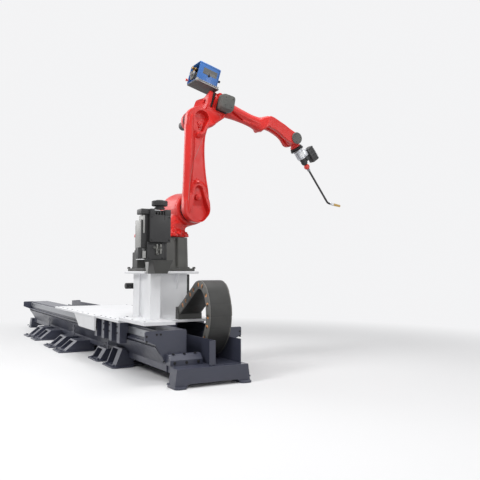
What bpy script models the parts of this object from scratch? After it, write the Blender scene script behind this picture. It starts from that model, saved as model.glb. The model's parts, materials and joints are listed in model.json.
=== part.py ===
# Six-axis welding robot on a floor rail, built as an assembly of separate solids.
# Metres, +Z up. X runs along the rail towards its near end, Y is the way the robot reaches.
# The origin is on the floor, under the middle of the first foot behind the near module.

import math

import bmesh
import bpy
from mathutils import Vector

for old in list(bpy.data.objects):
    bpy.data.objects.remove(old, do_unlink=True)

# Fits shared by the whole machine
seat = 0.0003           # between pieces that touch
running = 0.006         # between pieces that pass each other
lap = 0.004             # how far shapes that become one casting run into each other
overrun = 0.01          # how far a cutter passes through what it cuts
edge = 0.003            # broken edge on plates and housings
joint_gap = 0.0005      # between the two rings of a turning joint

# Rail
module_count = 4
module_length = 1.145
foot_spacing = 0.43     # between the two feet that carry a module joint
beam_bottom = 0.08
beam_top = 0.37
beam_half = 0.285       # half the width across the guide faces
lip_out = 0.02          # drip lip under each guide
lip_thick = 0.012
lip_below_top = 0.09
groove = 0.014          # shadow groove under the lip
belly_half = 0.215
belly_rise = 0.045      # height of the upright strip at the foot of the sloping side
guide_thick = 0.012
guide_height = 0.055
guide_below_top = 0.012
recess_left = 0.07      # the left box's right face; the beam is open from here to its right box
channel_height = 0.13   # floor of the open recess above ground
end_plate_thick = 0.012
end_plate_half = 0.388  # the plate spreads out at the top, like a shield
end_plate_corner = 0.01
end_plate_wing = 0.064  # height of the upright edge of each wing
end_plate_wing_in = 0.079
end_plate_wing_drop = 0.032
end_plate_foot_half = 0.224
end_plate_bridge = 0.02  # metal left beside the channel's notch

# Feet
foot_length = 0.25
foot_half = 0.325
foot_top_half = 0.27
foot_inner = 0.17       # the two brackets stop here, well apart under the beam
foot_ear = 0.028        # how far the near foot's left bracket climbs beside the sloping side
low_foot_ear = -0.02    # the other feet stay lower
foot_tie_length = 0.06
foot_tie_thick = 0.025
foot_pocket_depth = 0.03
foot_pocket_near = 0.035
foot_pocket_far = 0.105
foot_rim = 0.012        # metal left above the pocket
wide_foot_half = 0.45
wide_foot_top_half = 0.34
sole_thick = 0.012
sole_length = 0.31
sole_half = 0.362
wide_sole_half = 0.52
sole_corner = 0.035
end_foot_length = 0.11
end_foot_half = 0.2785
end_foot_shift = 0.0335  # the end foot sits towards the chain side
end_foot_taper = 0.015
end_foot_arch = 0.015
end_foot_tongue = 0.122  # from the end plate to the cross-member
end_pad_width = 0.087
end_pad_out = 0.03
end_pad_corner = 0.03
stop_length = 0.08
stop_height = 0.075
stop_left = 0.229
stop_right = 0.022

# Cable channel and chain
trough_left = 0.057     # from the rail's middle to the channel's outer left face
trough_width = 0.212
trough_wall = 0.005
trough_height = 0.175
trough_flange = 0.043
trough_overhang = 0.215  # past the beam's end plate
chain_width = 0.187
chain_thick = 0.065
chain_pitch = 0.088
chain_waist = 0.008     # each link is this much thinner at its pins
chain_rise_angle = math.radians(33)
chain_big_radius = 0.30
chain_small_radius = 0.12
chain_small_turn = math.radians(32.3)
chain_big_centre_x = 0.43
chain_start_x = 0.213
chain_tail = 0.60       # straight run left in the channel
chain_pin_share = 0.14  # of a link, from its end to its pin

# Carriage
park = 0.275            # robot's axis from the origin when the carriage is at the near stop
deck_top = 0.405
deck_thick = 0.02
deck_left = 0.385
deck_step = 0.07        # from here to its near edge the deck is narrower
deck_narrow = 0.26
deck_right = 0.38
deck_near = 0.245
deck_far = 0.52
front_plate_near = 0.64
front_plate_far = 0.085
front_plate_left = 0.385
front_plate_right = 0.145
front_plate_step = 0.19  # beside the riser the plate is narrower
front_plate_narrow = 0.20
front_plate_thick = 0.025
bracket_drop = 0.06
bracket_thick = 0.045
rear_deck_far = 2.0
rear_deck_left = 0.405
rear_deck_right = 0.405
rear_skirt_height = 0.11
rear_skirt_length = 0.50
rear_skirt_slant = 0.18
rear_skirt_thick = 0.02
saddle_length = 0.675
saddle_near = 0.07
saddle_outer = 0.37
saddle_low = 0.225
saddle_plate = 0.022
saddle_rib = 0.068
saddle_ribs = 4
riser_half = 0.175
riser_right = 0.158
riser_rib = 0.012
riser_rib_width = 0.03
riser_top = 0.79
riser_top_half = 0.236
riser_top_thick = 0.02
duct_width = 0.05
duct_depth = 0.023
drive_back = 0.30       # the travel drive's gearbox, on the riser's back face
drive_left = 0.13
drive_right = 0.03
drive_low = 0.60
drive_high = 0.755
drive_knob_x = 0.25
drive_knob_z = 0.665
drive_knob_radius = 0.025
drive_knob_reach = 0.22

# Torch cleaning station, on its own post beside the riser
post_near = 0.458
post_far = 0.315
post_left = 0.27
post_right = 0.19
post_slant = 0.05       # the post's far edge steps in by this
post_slant_low_share = 0.18
post_slant_high_share = 0.46
post_top = 0.773
tray_near = 0.585
tray_far = 0.385
tray_left = 0.305
tray_right = 0.142
tray_height = 0.099
tray_slope = 0.032
side_box_far = 0.345    # dark box at the tray's left corner
side_box_near = 0.41
side_box_left = 0.36
side_box_low = 0.815
side_box_high = 0.949
cleaner_near = 0.59
cleaner_far = 0.455
cleaner_left = 0.297
cleaner_right = 0.167
cleaner_low_near = 0.57
cleaner_low_far = 0.43
cleaner_low_left = 0.287
cleaner_low_right = 0.18
cleaner_low_height = 0.131
cleaner_high_height = 0.245
cleaner_cut = 0.05      # the case's right shoulder is lower by this
cleaner_cut_width = 0.03
knob_radius = 0.058
knob_neck_radius = 0.046
knob_height = 0.037
knob_neck_height = 0.033
arm_block_near = 0.555
arm_block_far = 0.50
arm_block_left = 0.38
arm_block_low = 1.198
arm_block_high = 1.245
side_bar_near = 0.56
side_bar_far = 0.49
side_bar_left = 0.40
side_bar_right = 0.345
side_bar_low = 0.96
side_bar_high = 1.16
side_link_near = 0.53
side_link_far = 0.465
side_link_right = 0.318
side_link_low = 1.07

# Robot base
base_half = 0.187
base_corner = 0.08
base_foot_half = 0.226
base_foot_thick = 0.022
base_foot_corner = 0.03
base_top = 1.07
base_taper = 0.008
panel_width = 0.16
panel_height = 0.13
panel_depth = 0.035

# Turning column and second axis
ring_radius = 0.19
ring_height = 0.035
j2_forward = 0.195
j2_rise = 0.235         # second axis above the base's top
housing_radius = 0.138
housing_left = 0.19
housing_right = 0.185
housing_shares = (      # along the housing from its left end, and radius, of the right end's
    (0.0, 0.90), (0.04, 1.0), (0.2, 1.10), (0.4, 1.13), (0.65, 1.05), (0.85, 1.0), (0.96, 1.0), (1.0, 0.94),
)
neck_half = 0.125
neck_foot_share = 0.94  # neck's half width at the ring, of the ring's radius
neck_back_share = 0.86  # neck's back face at the second axis, of the housing's radius
neck_front_share = 0.5
neck_corner_share = 0.95
neck_corner_ease = 0.5
j1_motor_radius = 0.062
j1_motor_height = 0.11
j1_motor_back = 0.12
j2_motor_radius = 0.06
j2_motor_length = 0.15

# Lower arm
arm_length = 0.745
arm_inner = 0.238       # web's inner face, from the robot's middle plane
arm_lobe_inner = 0.206  # the lobes reach further in than the web
arm_web = 0.270
arm_rim = 0.294         # the lobes' rims stand above the web
arm_round = 0.012
low_lobe = 0.12
high_lobe = 0.101
low_hub = 0.095
high_hub = 0.07
arm_front_turn = math.radians(24)
arm_front_top_turn = math.radians(-18)
arm_front_shares = (    # front edge: height of the arm's length, width of the low lobe's radius
    (0.21, 0.885), (0.322, 0.767), (0.49, 0.65), (0.66, 0.608), (0.808, 0.665),
)
spine_width = 0.054
spine_low = 0.090       # middle of the spine behind the arm's line, at the low and the high lobe
spine_high = 0.068
spine_top = 0.301
spine_start_share = 0.55  # past each lobe's centre, of its radius
spine_fade_share = 0.12
low_pocket = (0.025, -0.024)
low_pocket_radius = 0.075
low_pocket_tip = (0.010, 0.150)
high_pocket = (0.028, 0.761)
high_pocket_radius = 0.054
high_pocket_tip = (0.030, 0.655)
pocket_tip_share = 0.42
pocket_depth = 0.042
pocket_deep = 0.074     # the round part goes further in
pocket_deep_share = 0.90
boss_radius = 0.017
boss_height = 0.030
low_boss = (0.013, 0.091)
high_boss = (0.020, 0.704)
lug_radius = 0.016
lug_height = 0.016
low_lug = (0.0, 0.222)
high_lug = (0.015, 0.60)

# Elbow
droop = math.radians(15.3)
hub_radius = 0.083
hub_left = 0.11
hub_right = 0.185
j4_rise = 0.304         # fourth axis above the third
j4_back = 0.146         # rear face of the fourth axis's housing
j4_front = 0.335
j4_radius = 0.080
j4_back_share = 0.86
j4_front_share = 0.92
elbow_rings = (         # height, left, right, back, front of the casting between hub and housing
    (0.0, 0.030, 0.165, 0.045, 0.150), (0.05, -0.060, 0.155, 0.050, 0.212),
    (0.12, -0.080, 0.130, 0.058, 0.267),
    (0.19, -0.082, 0.105, 0.072, 0.322), (0.25, -0.080, 0.088, 0.105, 0.332),
    (0.304, -0.076, 0.080, 0.150, 0.333),
)
elbow_corner = 0.028
rear_bump_x = 0.02
rear_bump_z = 0.235
rear_bump_radius = 0.05
rear_bump_back = 0.078
cover_back = 0.198
cover_front = 0.333
cover_low = 0.235
cover_high = 0.357
cover_out = 0.18
cover_in = 0.074
cover_round = 0.03
j3_motor_radius = 0.038
j3_motor_length = 0.135
feeder_plate_back = 0.038
feeder_plate_front = 0.195
feeder_plate_half = 0.094
feeder_plate_low = 0.403
feeder_plate_thick = 0.012
feeder_pad_half = 0.055
feeder_pad_back = 0.155
feeder_back = 0.04
feeder_length = 0.21
feeder_half = 0.10
feeder_height = 0.176
feeder_wall = 0.006
feeder_recess = 0.05
reel_radius = 0.042
reel_width = 0.05
reel_height_share = 0.45

# Forearm and wrist
forearm_radius = 0.055
fork_start = 0.775
wrist_reach = 1.10      # fifth axis from the elbow's third axis, along the forearm
tube_shares = (         # along the tube, and its radius
    (0.0, 1.34), (0.03, 1.36), (0.06, 1.33), (0.148, 1.236), (0.239, 1.136), (0.352, 1.064), (0.489, 1.0),
    (0.602, 1.0), (0.716, 1.055), (0.807, 1.18), (0.88, 1.22), (0.96, 1.05),
)
knuckle_shares = (      # along the tube, half width, underside and top of the knuckle before the fork
    (0.82, 1.10, 1.12, 1.15), (0.89, 1.36, 1.28, 1.45), (0.96, 1.54, 0.80, 1.74), (1.03, 1.59, 0.10, 1.80),
)
knuckle_corner_share = 0.4
cheek_out = 0.088
cheek_in = 0.046
cheek_high = 0.10
cheek_end = 0.059
cheek_end_turn = math.radians(118)
cheek_top_shares = ((0.71, 0.64), (0.52, 0.80), (0.32, 0.90), (0.14, 1.0), (0.0, 1.0), (-0.04, 0.80))
near_cheek_shares = (
    (-0.04, 0.10), (0.046, 0.0), (0.089, -0.09), (0.268, -0.11), (0.46, -0.27), (0.62, -0.45),
    (0.785, -0.60),
)
far_cheek_shares = (
    (-0.04, 0.10), (0.05, 0.12), (0.17, 0.14), (0.31, 0.17), (0.46, 0.10), (0.62, 0.0), (0.74, -0.16),
    (0.83, -0.38),
)
near_cheek_turn = math.radians(-95)
far_cheek_turn = math.radians(-125)
wrist_cover_radius = 0.056
wrist_cover_thick = 0.012
wrist_bend = math.radians(38.4)

# Tool
wrist_radius = 0.048
wrist_length = 0.105
wrist_neck_shares = ((0.0, 0.72), (0.4, 0.78), (0.84, 0.90), (0.87, 1.02), (1.0, 1.02))
flange_radius = 0.066
flange_thick = 0.014
torch_radius = 0.045
torch_length = 0.095
torch_shoulder_share = 0.84
clamp_radius = 0.031
clamp_length = 0.067
clamp_nose_share = 0.55
torch_motor_offset = 0.12
torch_motor_length = 0.148
torch_motor_depth = 0.085
torch_motor_width = 0.075
torch_motor_along = 0.235
motor_arm_share = 0.5
ball_radius = 0.027
ball_sink_share = 0.9
ball_turn_shares = (0.16, 0.245, 0.33, 0.415, 0.5, 0.585, 0.67, 0.755, 0.84)
tube_radius = 0.010
tube_bend_along = 0.733
tube_bend_radius = 0.05
nozzle_droop = math.radians(8)
nozzle_length = 0.172
nozzle_radius = 0.0125
tip_length = 0.084
tip_straight_share = 0.5
tip_end_share = 0.7

# Fineness of round shapes
round_steps = 32
small_round_steps = 20
corner_steps = 4
side_steps = 10         # stations up each side of the lower arm, and sides of its bosses
pocket_steps = 14
cheek_steps = 12
neck_steps = 16
round_lug_steps = 8
bell_steps = 5
smooth_angle = math.radians(32)


# Finishes

def finish(name, colour, roughness, metallic=0.0):
    made = bpy.data.materials.new(name)
    made.use_nodes = True
    shader = made.node_tree.nodes["Principled BSDF"]
    shader.inputs["Base Color"].default_value = (*colour, 1.0)
    shader.inputs["Roughness"].default_value = roughness
    shader.inputs["Metallic"].default_value = metallic
    made.diffuse_color = (*colour, 1.0)
    return made


red_paint = finish("red_paint", (0.74, 0.045, 0.040), 0.38)
dark_paint = finish("dark_paint", (0.070, 0.070, 0.066), 0.55)
cover_plastic = finish("cover_plastic", (0.110, 0.110, 0.104), 0.50)
white_paint = finish("white_paint", (0.80, 0.81, 0.83), 0.45)
rail_paint = finish("rail_paint", (0.068, 0.074, 0.110), 0.45)
machined_steel = finish("machined_steel", (0.42, 0.43, 0.45), 0.35, 0.9)
chain_plastic = finish("chain_plastic", (0.058, 0.058, 0.055), 0.60)
blue_paint = finish("blue_paint", (0.05, 0.16, 0.46), 0.40)
black_plastic = finish("black_plastic", (0.022, 0.022, 0.023), 0.50)
silver_metal = finish("silver_metal", (0.70, 0.71, 0.73), 0.30, 0.9)
brass = finish("brass", (0.58, 0.39, 0.13), 0.28, 1.0)
ball_red = finish("ball_red", (0.70, 0.045, 0.030), 0.35)


# Shape builders

def place(name, parent, paint, vertices, faces):
    """One named object from points and faces, in its parent's frame, with its faces turned outwards."""
    mesh = bpy.data.meshes.new(name)
    mesh.from_pydata([tuple(v) for v in vertices], [], faces)
    work = bmesh.new()
    work.from_mesh(mesh)
    bmesh.ops.recalc_face_normals(work, faces=work.faces)
    if work.calc_volume(signed=True) < 0:
        bmesh.ops.reverse_faces(work, faces=work.faces)
    work.to_mesh(mesh)
    work.free()
    return wrap(name, parent, paint, mesh)


def wrap(name, parent, paint, mesh):
    mesh.shade_smooth()
    mesh.set_sharp_from_angle(angle=smooth_angle)
    mesh.materials.append(paint)
    made = bpy.data.objects.new(name, mesh)
    made.parent = parent
    bpy.context.scene.collection.objects.link(made)
    return made


def axis_frame(name, parent, place_at, turn=0.0):
    """An empty on a joint's axis, turned about its X axis."""
    made = bpy.data.objects.new(name, None)
    made.parent = parent
    made.location = place_at
    made.rotation_euler = (turn, 0, 0)
    bpy.context.scene.collection.objects.link(made)
    return made


def loft(name, parent, paint, rings):
    """A closed skin over rings that all have the same number of points."""
    size = len(rings[0])
    vertices = [point for ring in rings for point in ring]
    faces = [tuple(range(size)), tuple(range(len(vertices) - size, len(vertices)))]
    for k in range(len(rings) - 1):
        low, high = k * size, (k + 1) * size
        for i in range(size):
            j = (i + 1) % size
            faces.append((low + i, low + j, high + j, high + i))
    return place(name, parent, paint, vertices, faces)


def on_axis(axis, outline, distance):
    """Points of a flat outline put at a distance along X, Y or Z."""
    if axis == "x":
        return [(distance, a, b) for a, b in outline]
    if axis == "y":
        return [(a, distance, b) for a, b in outline]
    return [(a, b, distance) for a, b in outline]


def prism(name, parent, paint, outline, axis, start, end):
    return loft(name, parent, paint, [on_axis(axis, outline, start), on_axis(axis, outline, end)])


def arc(centre, radius, start, end, steps):
    """Points on a circle from one angle to another, both ends included."""
    return [
        (
            centre[0] + radius * math.cos(start + (end - start) * i / steps),
            centre[1] + radius * math.sin(start + (end - start) * i / steps),
        )
        for i in range(steps + 1)
    ]


def circle(centre, radius, steps=round_steps):
    return arc(centre, radius, 0, math.tau, steps)[:-1]


def rounded_rectangle(left, right, low, high, radius, steps=corner_steps):
    quarter = math.pi / 2
    corners = [
        ((right - radius, low + radius), -quarter),
        ((right - radius, high - radius), 0),
        ((left + radius, high - radius), quarter),
        ((left + radius, low + radius), math.pi),
    ]
    return [p for centre, angle in corners for p in arc(centre, radius, angle, angle + quarter, steps)]


def inset(outline, distance):
    """A smooth closed outline moved inwards; it runs anticlockwise."""
    moved = []
    for i, (a, b) in enumerate(outline):
        before, after = outline[i - 1], outline[(i + 1) % len(outline)]
        along = Vector((after[0] - before[0], after[1] - before[1]))
        if along.length == 0:
            moved.append((a, b))
            continue
        along.normalize()
        moved.append((a - along.y * distance, b + along.x * distance))
    return moved


def soft_prism(name, parent, paint, outline, axis, start, end, radius, steps=2):
    """A prism whose far edge, at end, is rounded over."""
    way = 1 if end > start else -1
    rings = [on_axis(axis, outline, start), on_axis(axis, outline, end - way * radius)]
    for i in range(1, steps + 1):
        angle = math.pi / 2 * i / steps
        shrink = radius * (1 - math.cos(angle))
        rings.append(on_axis(axis, inset(outline, shrink), end - way * radius * (1 - math.sin(angle))))
    return loft(name, parent, paint, rings)


def block(name, parent, paint, low, high, radius=edge, segments=1):
    """A box between two corners with its edges broken or rounded."""
    mesh = bpy.data.meshes.new(name)
    work = bmesh.new()
    bmesh.ops.create_cube(work, size=1.0)
    for vertex in work.verts:
        for k in range(3):
            vertex.co[k] = high[k] if vertex.co[k] > 0 else low[k]
    if radius > 0:
        bmesh.ops.bevel(
            work, geom=list(work.edges), offset=radius, segments=segments, affect="EDGES",
            profile=0.5, clamp_overlap=True,
        )
    bmesh.ops.recalc_face_normals(work, faces=work.faces)
    work.to_mesh(mesh)
    work.free()
    return wrap(name, parent, paint, mesh)


def turned(name, parent, paint, profile, axis, centre, steps=round_steps):
    """A turned piece: profile points are (radius, distance along the axis), closed by its end discs."""
    rings = []
    for radius, along in profile:
        ring = circle((0, 0), radius, steps)
        if axis == "x":
            rings.append([(centre[0] + along, centre[1] + a, centre[2] + b) for a, b in ring])
        elif axis == "y":
            rings.append([(centre[0] + a, centre[1] + along, centre[2] + b) for a, b in ring])
        else:
            rings.append([(centre[0] + a, centre[1] + b, centre[2] + along) for a, b in ring])
    return loft(name, parent, paint, rings)


def rod(name, parent, paint, radius, axis, centre, start, end, chamfer=edge, steps=round_steps):
    """A round bar with broken ends."""
    profile = [(radius - chamfer, start), (radius, start + chamfer), (radius, end - chamfer),
               (radius - chamfer, end)]
    return turned(name, parent, paint, profile, axis, centre, steps)


def combine(kind, target, tool):
    change = target.modifiers.new(kind.lower() + "_" + tool.name, "BOOLEAN")
    change.operation = kind
    change.solver = "EXACT"
    change.object = tool
    tool.hide_render = True
    tool.display_type = "WIRE"


def join(target, *tools):
    for tool in tools:
        combine("UNION", target, tool)
    return target


def cut(target, *tools):
    for tool in tools:
        combine("DIFFERENCE", target, tool)
    return target


# Rail

joint_x = -foot_spacing / 2                     # first joint between modules
rail_near = joint_x + module_length
rail_far = rail_near - module_count * module_length
trough_right = trough_left + trough_width
lip_half = beam_half + lip_out
slope_top = beam_top - lip_below_top - lip_thick - groove
belly_top = beam_bottom + belly_rise
guide_top = beam_top - guide_below_top
guide_low = guide_top - guide_height
guide_face = beam_half + seat + guide_thick
trough_floor = channel_height + seat
channel_left = -recess_left
channel_right = trough_right + seat
channel_outer = (channel_right + beam_half) / 2


def rail_side(side):
    """The beam's outline down one side, from the top edge to the underside, as (Y, Z) points."""
    lip_high = beam_top - lip_below_top
    return [
        (side * beam_half, beam_top),
        (side * beam_half, lip_high),
        (side * lip_half, lip_high),
        (side * lip_half, lip_high - lip_thick),
        (side * beam_half, lip_high - lip_thick),
        (side * beam_half, slope_top),
        (side * lip_half, slope_top),
    ]


def make_rail():
    slope_share = (channel_outer - belly_half) / (lip_half - belly_half)
    left = rail_side(-1) + [(-belly_half, belly_top), (-belly_half, beam_bottom)]
    right = rail_side(1) + [
        (channel_outer, belly_top + (slope_top - belly_top) * slope_share),
        (channel_outer, belly_top),
        (belly_half, belly_top),
        (belly_half, beam_bottom),
    ]
    channel = [
        (channel_right, beam_top), (channel_right, channel_height),
        (channel_left, channel_height), (channel_left, beam_top),
    ]
    section = left + right[::-1] + channel
    for k in range(module_count):
        near = rail_near - k * module_length
        prism("rail_module_%d" % (k + 1), None, rail_paint, section, "x", near - module_length + seat, near)
    for name, side in (("left_guide", -1), ("right_guide", 1)):
        inner, outer = side * (beam_half + seat), side * guide_face
        block(
            name, None, machined_steel,
            (rail_far + overrun, min(inner, outer), guide_low),
            (rail_near - overrun, max(inner, outer), guide_top),
        )


def make_end(name, face, way):
    """The plate that closes one end of the beam, with spread wings; the channel passes through its notch."""
    low, top = beam_bottom, beam_top
    wing_low = top - end_plate_wing
    bend = end_plate_half - end_plate_wing_in
    bend_z = wing_low - end_plate_wing_drop
    round_z = top - end_plate_corner
    corner = end_plate_half - end_plate_corner
    bridge = channel_right + end_plate_bridge
    outline = (
        [(-end_plate_foot_half, low), (end_plate_foot_half, low), (bridge, channel_height), (bend, bend_z)]
        + [(end_plate_half, wing_low)]
        + arc((corner, round_z), end_plate_corner, 0, math.pi / 2, corner_steps)
        + [(channel_right, top), (channel_right, channel_height), (channel_left, channel_height)]
        + arc((channel_left - end_plate_corner, round_z), end_plate_corner, 0, math.pi / 2, corner_steps)
        + arc((-corner, round_z), end_plate_corner, math.pi / 2, math.pi, corner_steps)
        + [(-end_plate_half, wing_low), (-bend, bend_z), (-end_plate_foot_half, channel_height)]
    )
    ends = sorted((face + way * seat, face + way * (seat + end_plate_thick)))
    prism(name, None, rail_paint, outline, "x", *ends)


def make_foot(name, x, ear, out, top_out, sole_out):
    """A cast bracket under each side of the beam, with a pocket in its outer face, on its own sole."""
    under = beam_bottom - seat
    half = belly_half + seat
    low = sole_thick + lap
    side_slope = (lip_half - belly_half) / (slope_top - belly_top)
    near, far = x + foot_length / 2, x - foot_length / 2
    tie = block(
        name, None, rail_paint, (x - foot_tie_length / 2, -foot_inner - lap, 0),
        (x + foot_tie_length / 2, foot_inner + lap, foot_tie_thick), 0,
    )
    for k, side in enumerate((-1, 1)):
        rise = ear if side < 0 else min(ear, -running)
        ear_top = belly_top + rise
        ear_in = half + running + max(rise, 0) * side_slope
        outline = [
            (out, low / 2), (foot_inner, low / 2), (foot_inner, under), (half, under),
            (half + running, belly_top + min(rise, -running)),
            (ear_in, ear_top), (top_out, ear_top), (out, low),
        ]
        outline = [(side * a, b) for a, b in outline]
        part = prism("%s_bracket_%d" % (name, k), None, rail_paint, outline, "x", far, near)
        pocket_in, pocket_out = top_out - foot_pocket_depth, out + overrun
        pocket = block(
            "%s_pocket_%d" % (name, k), None, rail_paint,
            (x - foot_pocket_far, min(side * pocket_in, side * pocket_out), low),
            (x + foot_pocket_near, max(side * pocket_in, side * pocket_out), ear_top - foot_rim), 0,
        )
        cut(part, pocket)
        ends = sorted((side * (foot_inner - running), side * sole_out))
        plan = rounded_rectangle(x - sole_length / 2, x + sole_length / 2, *ends, sole_corner)
        sole = soft_prism("%s_sole_%d" % (name, k), None, rail_paint, plan, "z", 0, sole_thick, edge)
        join(tie, sole, part)
    return tie


def make_end_foot(name, face, way):
    """The cross-member at the rail's end, arched between two pads, with a tongue to the end plate."""
    high = channel_height
    start = face + way * end_foot_tongue
    end = start + way * end_foot_length
    far, near = min(start, end), max(start, end)
    low, top = end_foot_half + end_foot_taper, end_foot_half
    shift = end_foot_shift
    pad = low - end_pad_width
    arch = end_foot_arch + sole_thick
    outline = [
        (shift - low, sole_thick), (shift - pad, sole_thick), (shift - pad + end_foot_arch, arch),
        (shift + pad - end_foot_arch, arch), (shift + pad, sole_thick),
        (shift + low, sole_thick), (shift + top, high), (shift - top, high),
    ]
    beam = prism(name, None, rail_paint, outline, "x", far, near)
    ends = sorted((face, start + way * overrun))
    tongue = block(
        name + "_tongue", None, rail_paint, (ends[0], -belly_half, beam_bottom),
        (ends[1], belly_half, high), 0,
    )
    join(beam, tongue)
    for k, side in enumerate((-1, 1)):
        inner, outer = shift + side * pad, shift + side * (low + running)
        plan = rounded_rectangle(
            far - end_pad_out, near + end_pad_out, min(inner, outer), max(inner, outer), end_pad_corner,
        )
        pad_solid = soft_prism("%s_pad_%d" % (name, k), None, rail_paint, plan, "z", 0, sole_thick + lap,
                               edge)
        join(beam, pad_solid)


def make_stop_block():
    """The bolted bracket that stops the carriage, on top of the near end foot's tongue."""
    near = rail_near + seat + end_plate_thick + seat
    low = channel_height + seat
    outline = [
        (near, low), (near + stop_length, low), (near + stop_length, low + stop_height / 2),
        (near + stop_length / 2, low + stop_height), (near, low + stop_height),
    ]
    prism("stop_block", None, rail_paint, outline, "y", -stop_left, stop_right)


def make_trough():
    """The sheet channel that the chain runs in: floor and two walls, with a turned-out flange at its near end."""
    near = rail_near + trough_overhang
    far = rail_far - trough_overhang
    low, high = trough_floor, trough_floor + trough_height
    wall_low = low + trough_wall + seat
    block("channel_floor", None, rail_paint, (far, trough_left, low),
          (near, trough_right, low + trough_wall), 0)
    wall = block(
        "channel_left_wall", None, rail_paint, (far, trough_left, wall_low),
        (near, trough_left + trough_wall, high), 0,
    )
    flange = block(
        "channel_flange", None, rail_paint, (near - trough_wall, trough_left - trough_flange, wall_low),
        (near, trough_left + trough_wall, high), 0,
    )
    join(wall, flange)
    block(
        "channel_right_wall", None, rail_paint, (far, trough_right - trough_wall, wall_low),
        (near, trough_right, high), 0,
    )


# Carriage and what stands on it

beam_clear = lip_half + running
saddle_inner = beam_clear
channel_middle = (trough_left + trough_right) / 2
chain_low = trough_floor + trough_wall + running


def make_saddle(name, side, carriage):
    """A ribbed cheek that hangs beside the beam; its pad runs on the guide."""
    top = deck_top - deck_thick - seat
    near, far = saddle_near, saddle_near - saddle_length
    step = (saddle_length - saddle_rib) / (saddle_ribs - 1)
    inner, back, outer = saddle_inner, saddle_inner + saddle_plate, saddle_outer
    comb = [(near, inner), (far, inner)]
    for k in range(saddle_ribs):
        start = far + k * step
        if k:
            comb.append((start, back))
        comb.append((start, outer))
        comb.append((start + saddle_rib, outer))
        if k < saddle_ribs - 1:
            comb.append((start + saddle_rib, back))
    comb = [(x, side * y) for x, y in comb]
    cheek = prism(name, carriage, rail_paint, comb, "z", saddle_low, top)
    pad_inner = guide_face + seat
    ends = sorted((side * pad_inner, side * (inner + lap)))
    pad = block(
        name + "_pad", carriage, rail_paint, (far, ends[0], guide_low), (near, ends[1], top), 0,
    )
    join(cheek, pad)


def make_decks(carriage):
    top, low = deck_top, deck_top - deck_thick
    outline = [
        (-deck_far, -deck_left), (deck_step, -deck_left), (deck_step, -deck_narrow),
        (deck_near, -deck_narrow), (deck_near, deck_right), (-deck_far, deck_right),
    ]
    prism("main_deck", carriage, white_paint, outline, "z", low, top)
    outline = [
        (front_plate_far, -front_plate_left), (front_plate_near, -front_plate_left),
        (front_plate_near, -front_plate_right), (front_plate_step, -front_plate_right),
        (front_plate_step, -front_plate_narrow), (front_plate_far, -front_plate_narrow),
    ]
    prism("front_plate", carriage, white_paint, outline, "z", top + seat, top + seat + front_plate_thick)
    rear = block(
        "rear_deck", carriage, white_paint,
        (-rear_deck_far, -rear_deck_left, low), (-deck_far - seat, rear_deck_right, top), edge,
    )
    skirt_near, skirt_top = -deck_far - seat - edge, low + lap
    skirt_low = low - rear_skirt_height
    skirt = [
        (skirt_near, skirt_top), (skirt_near, skirt_low), (skirt_near - rear_skirt_length, skirt_low),
        (skirt_near - rear_skirt_length - rear_skirt_slant, skirt_top),
    ]
    width = rear_skirt_thick - edge
    for k, outer in enumerate((-rear_deck_left + edge, rear_deck_right - edge - width)):
        plate = prism("rear_skirt_%d" % k, carriage, white_paint, skirt, "y", outer, outer + width)
        join(rear, plate)
    left, right = channel_left + running, trough_left
    slant = bracket_drop / 2
    outline = [
        (left + slant, low - seat - bracket_drop), (right - slant, low - seat - bracket_drop),
        (right, low - seat), (left, low - seat),
    ]
    prism("deck_bracket", carriage, rail_paint, outline, "x", deck_near - overrun - bracket_thick,
          deck_near - overrun)


def make_riser(carriage):
    """The welded column under the robot with a stiffening rib on its left face, and its top plate."""
    low, high = deck_top + seat, riser_top - riser_top_thick + lap
    half, rib, wide = riser_half, riser_rib, riser_rib_width
    side = [
        (-half, -half), (-wide, -half), (-wide, -half - rib), (0, -half - rib), (0, -half),
        (half, -half), (half, riser_right), (-half, riser_right),
    ]
    riser = prism("riser_column", carriage, white_paint, side, "z", low, high)
    plate = block(
        "riser_top_plate", carriage, white_paint,
        (-riser_top_half, -riser_top_half, riser_top - riser_top_thick),
        (riser_top_half, riser_top_half, riser_top), edge,
    )
    join(riser, plate)
    duct_high = riser_top - riser_top_thick - running
    block(
        "cable_duct", carriage, black_plastic,
        (half - duct_width, riser_right + seat, low + running),
        (half, riser_right + seat + duct_depth, duct_high), edge,
    )


def make_drive(carriage):
    """The travel drive on the riser's back face: a gearbox with its round motor pointing sideways."""
    drive = block(
        "travel_drive", carriage, black_plastic,
        (-drive_back, -drive_left, drive_low), (-riser_half - seat, -drive_right, drive_high), edge * 2,
    )
    join(drive, rod(
        "travel_drive_motor", carriage, black_plastic, drive_knob_radius, "y",
        (-drive_knob_x, 0, drive_knob_z),
        -drive_knob_reach, -drive_left + overrun, edge, small_round_steps,
    ))


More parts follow.
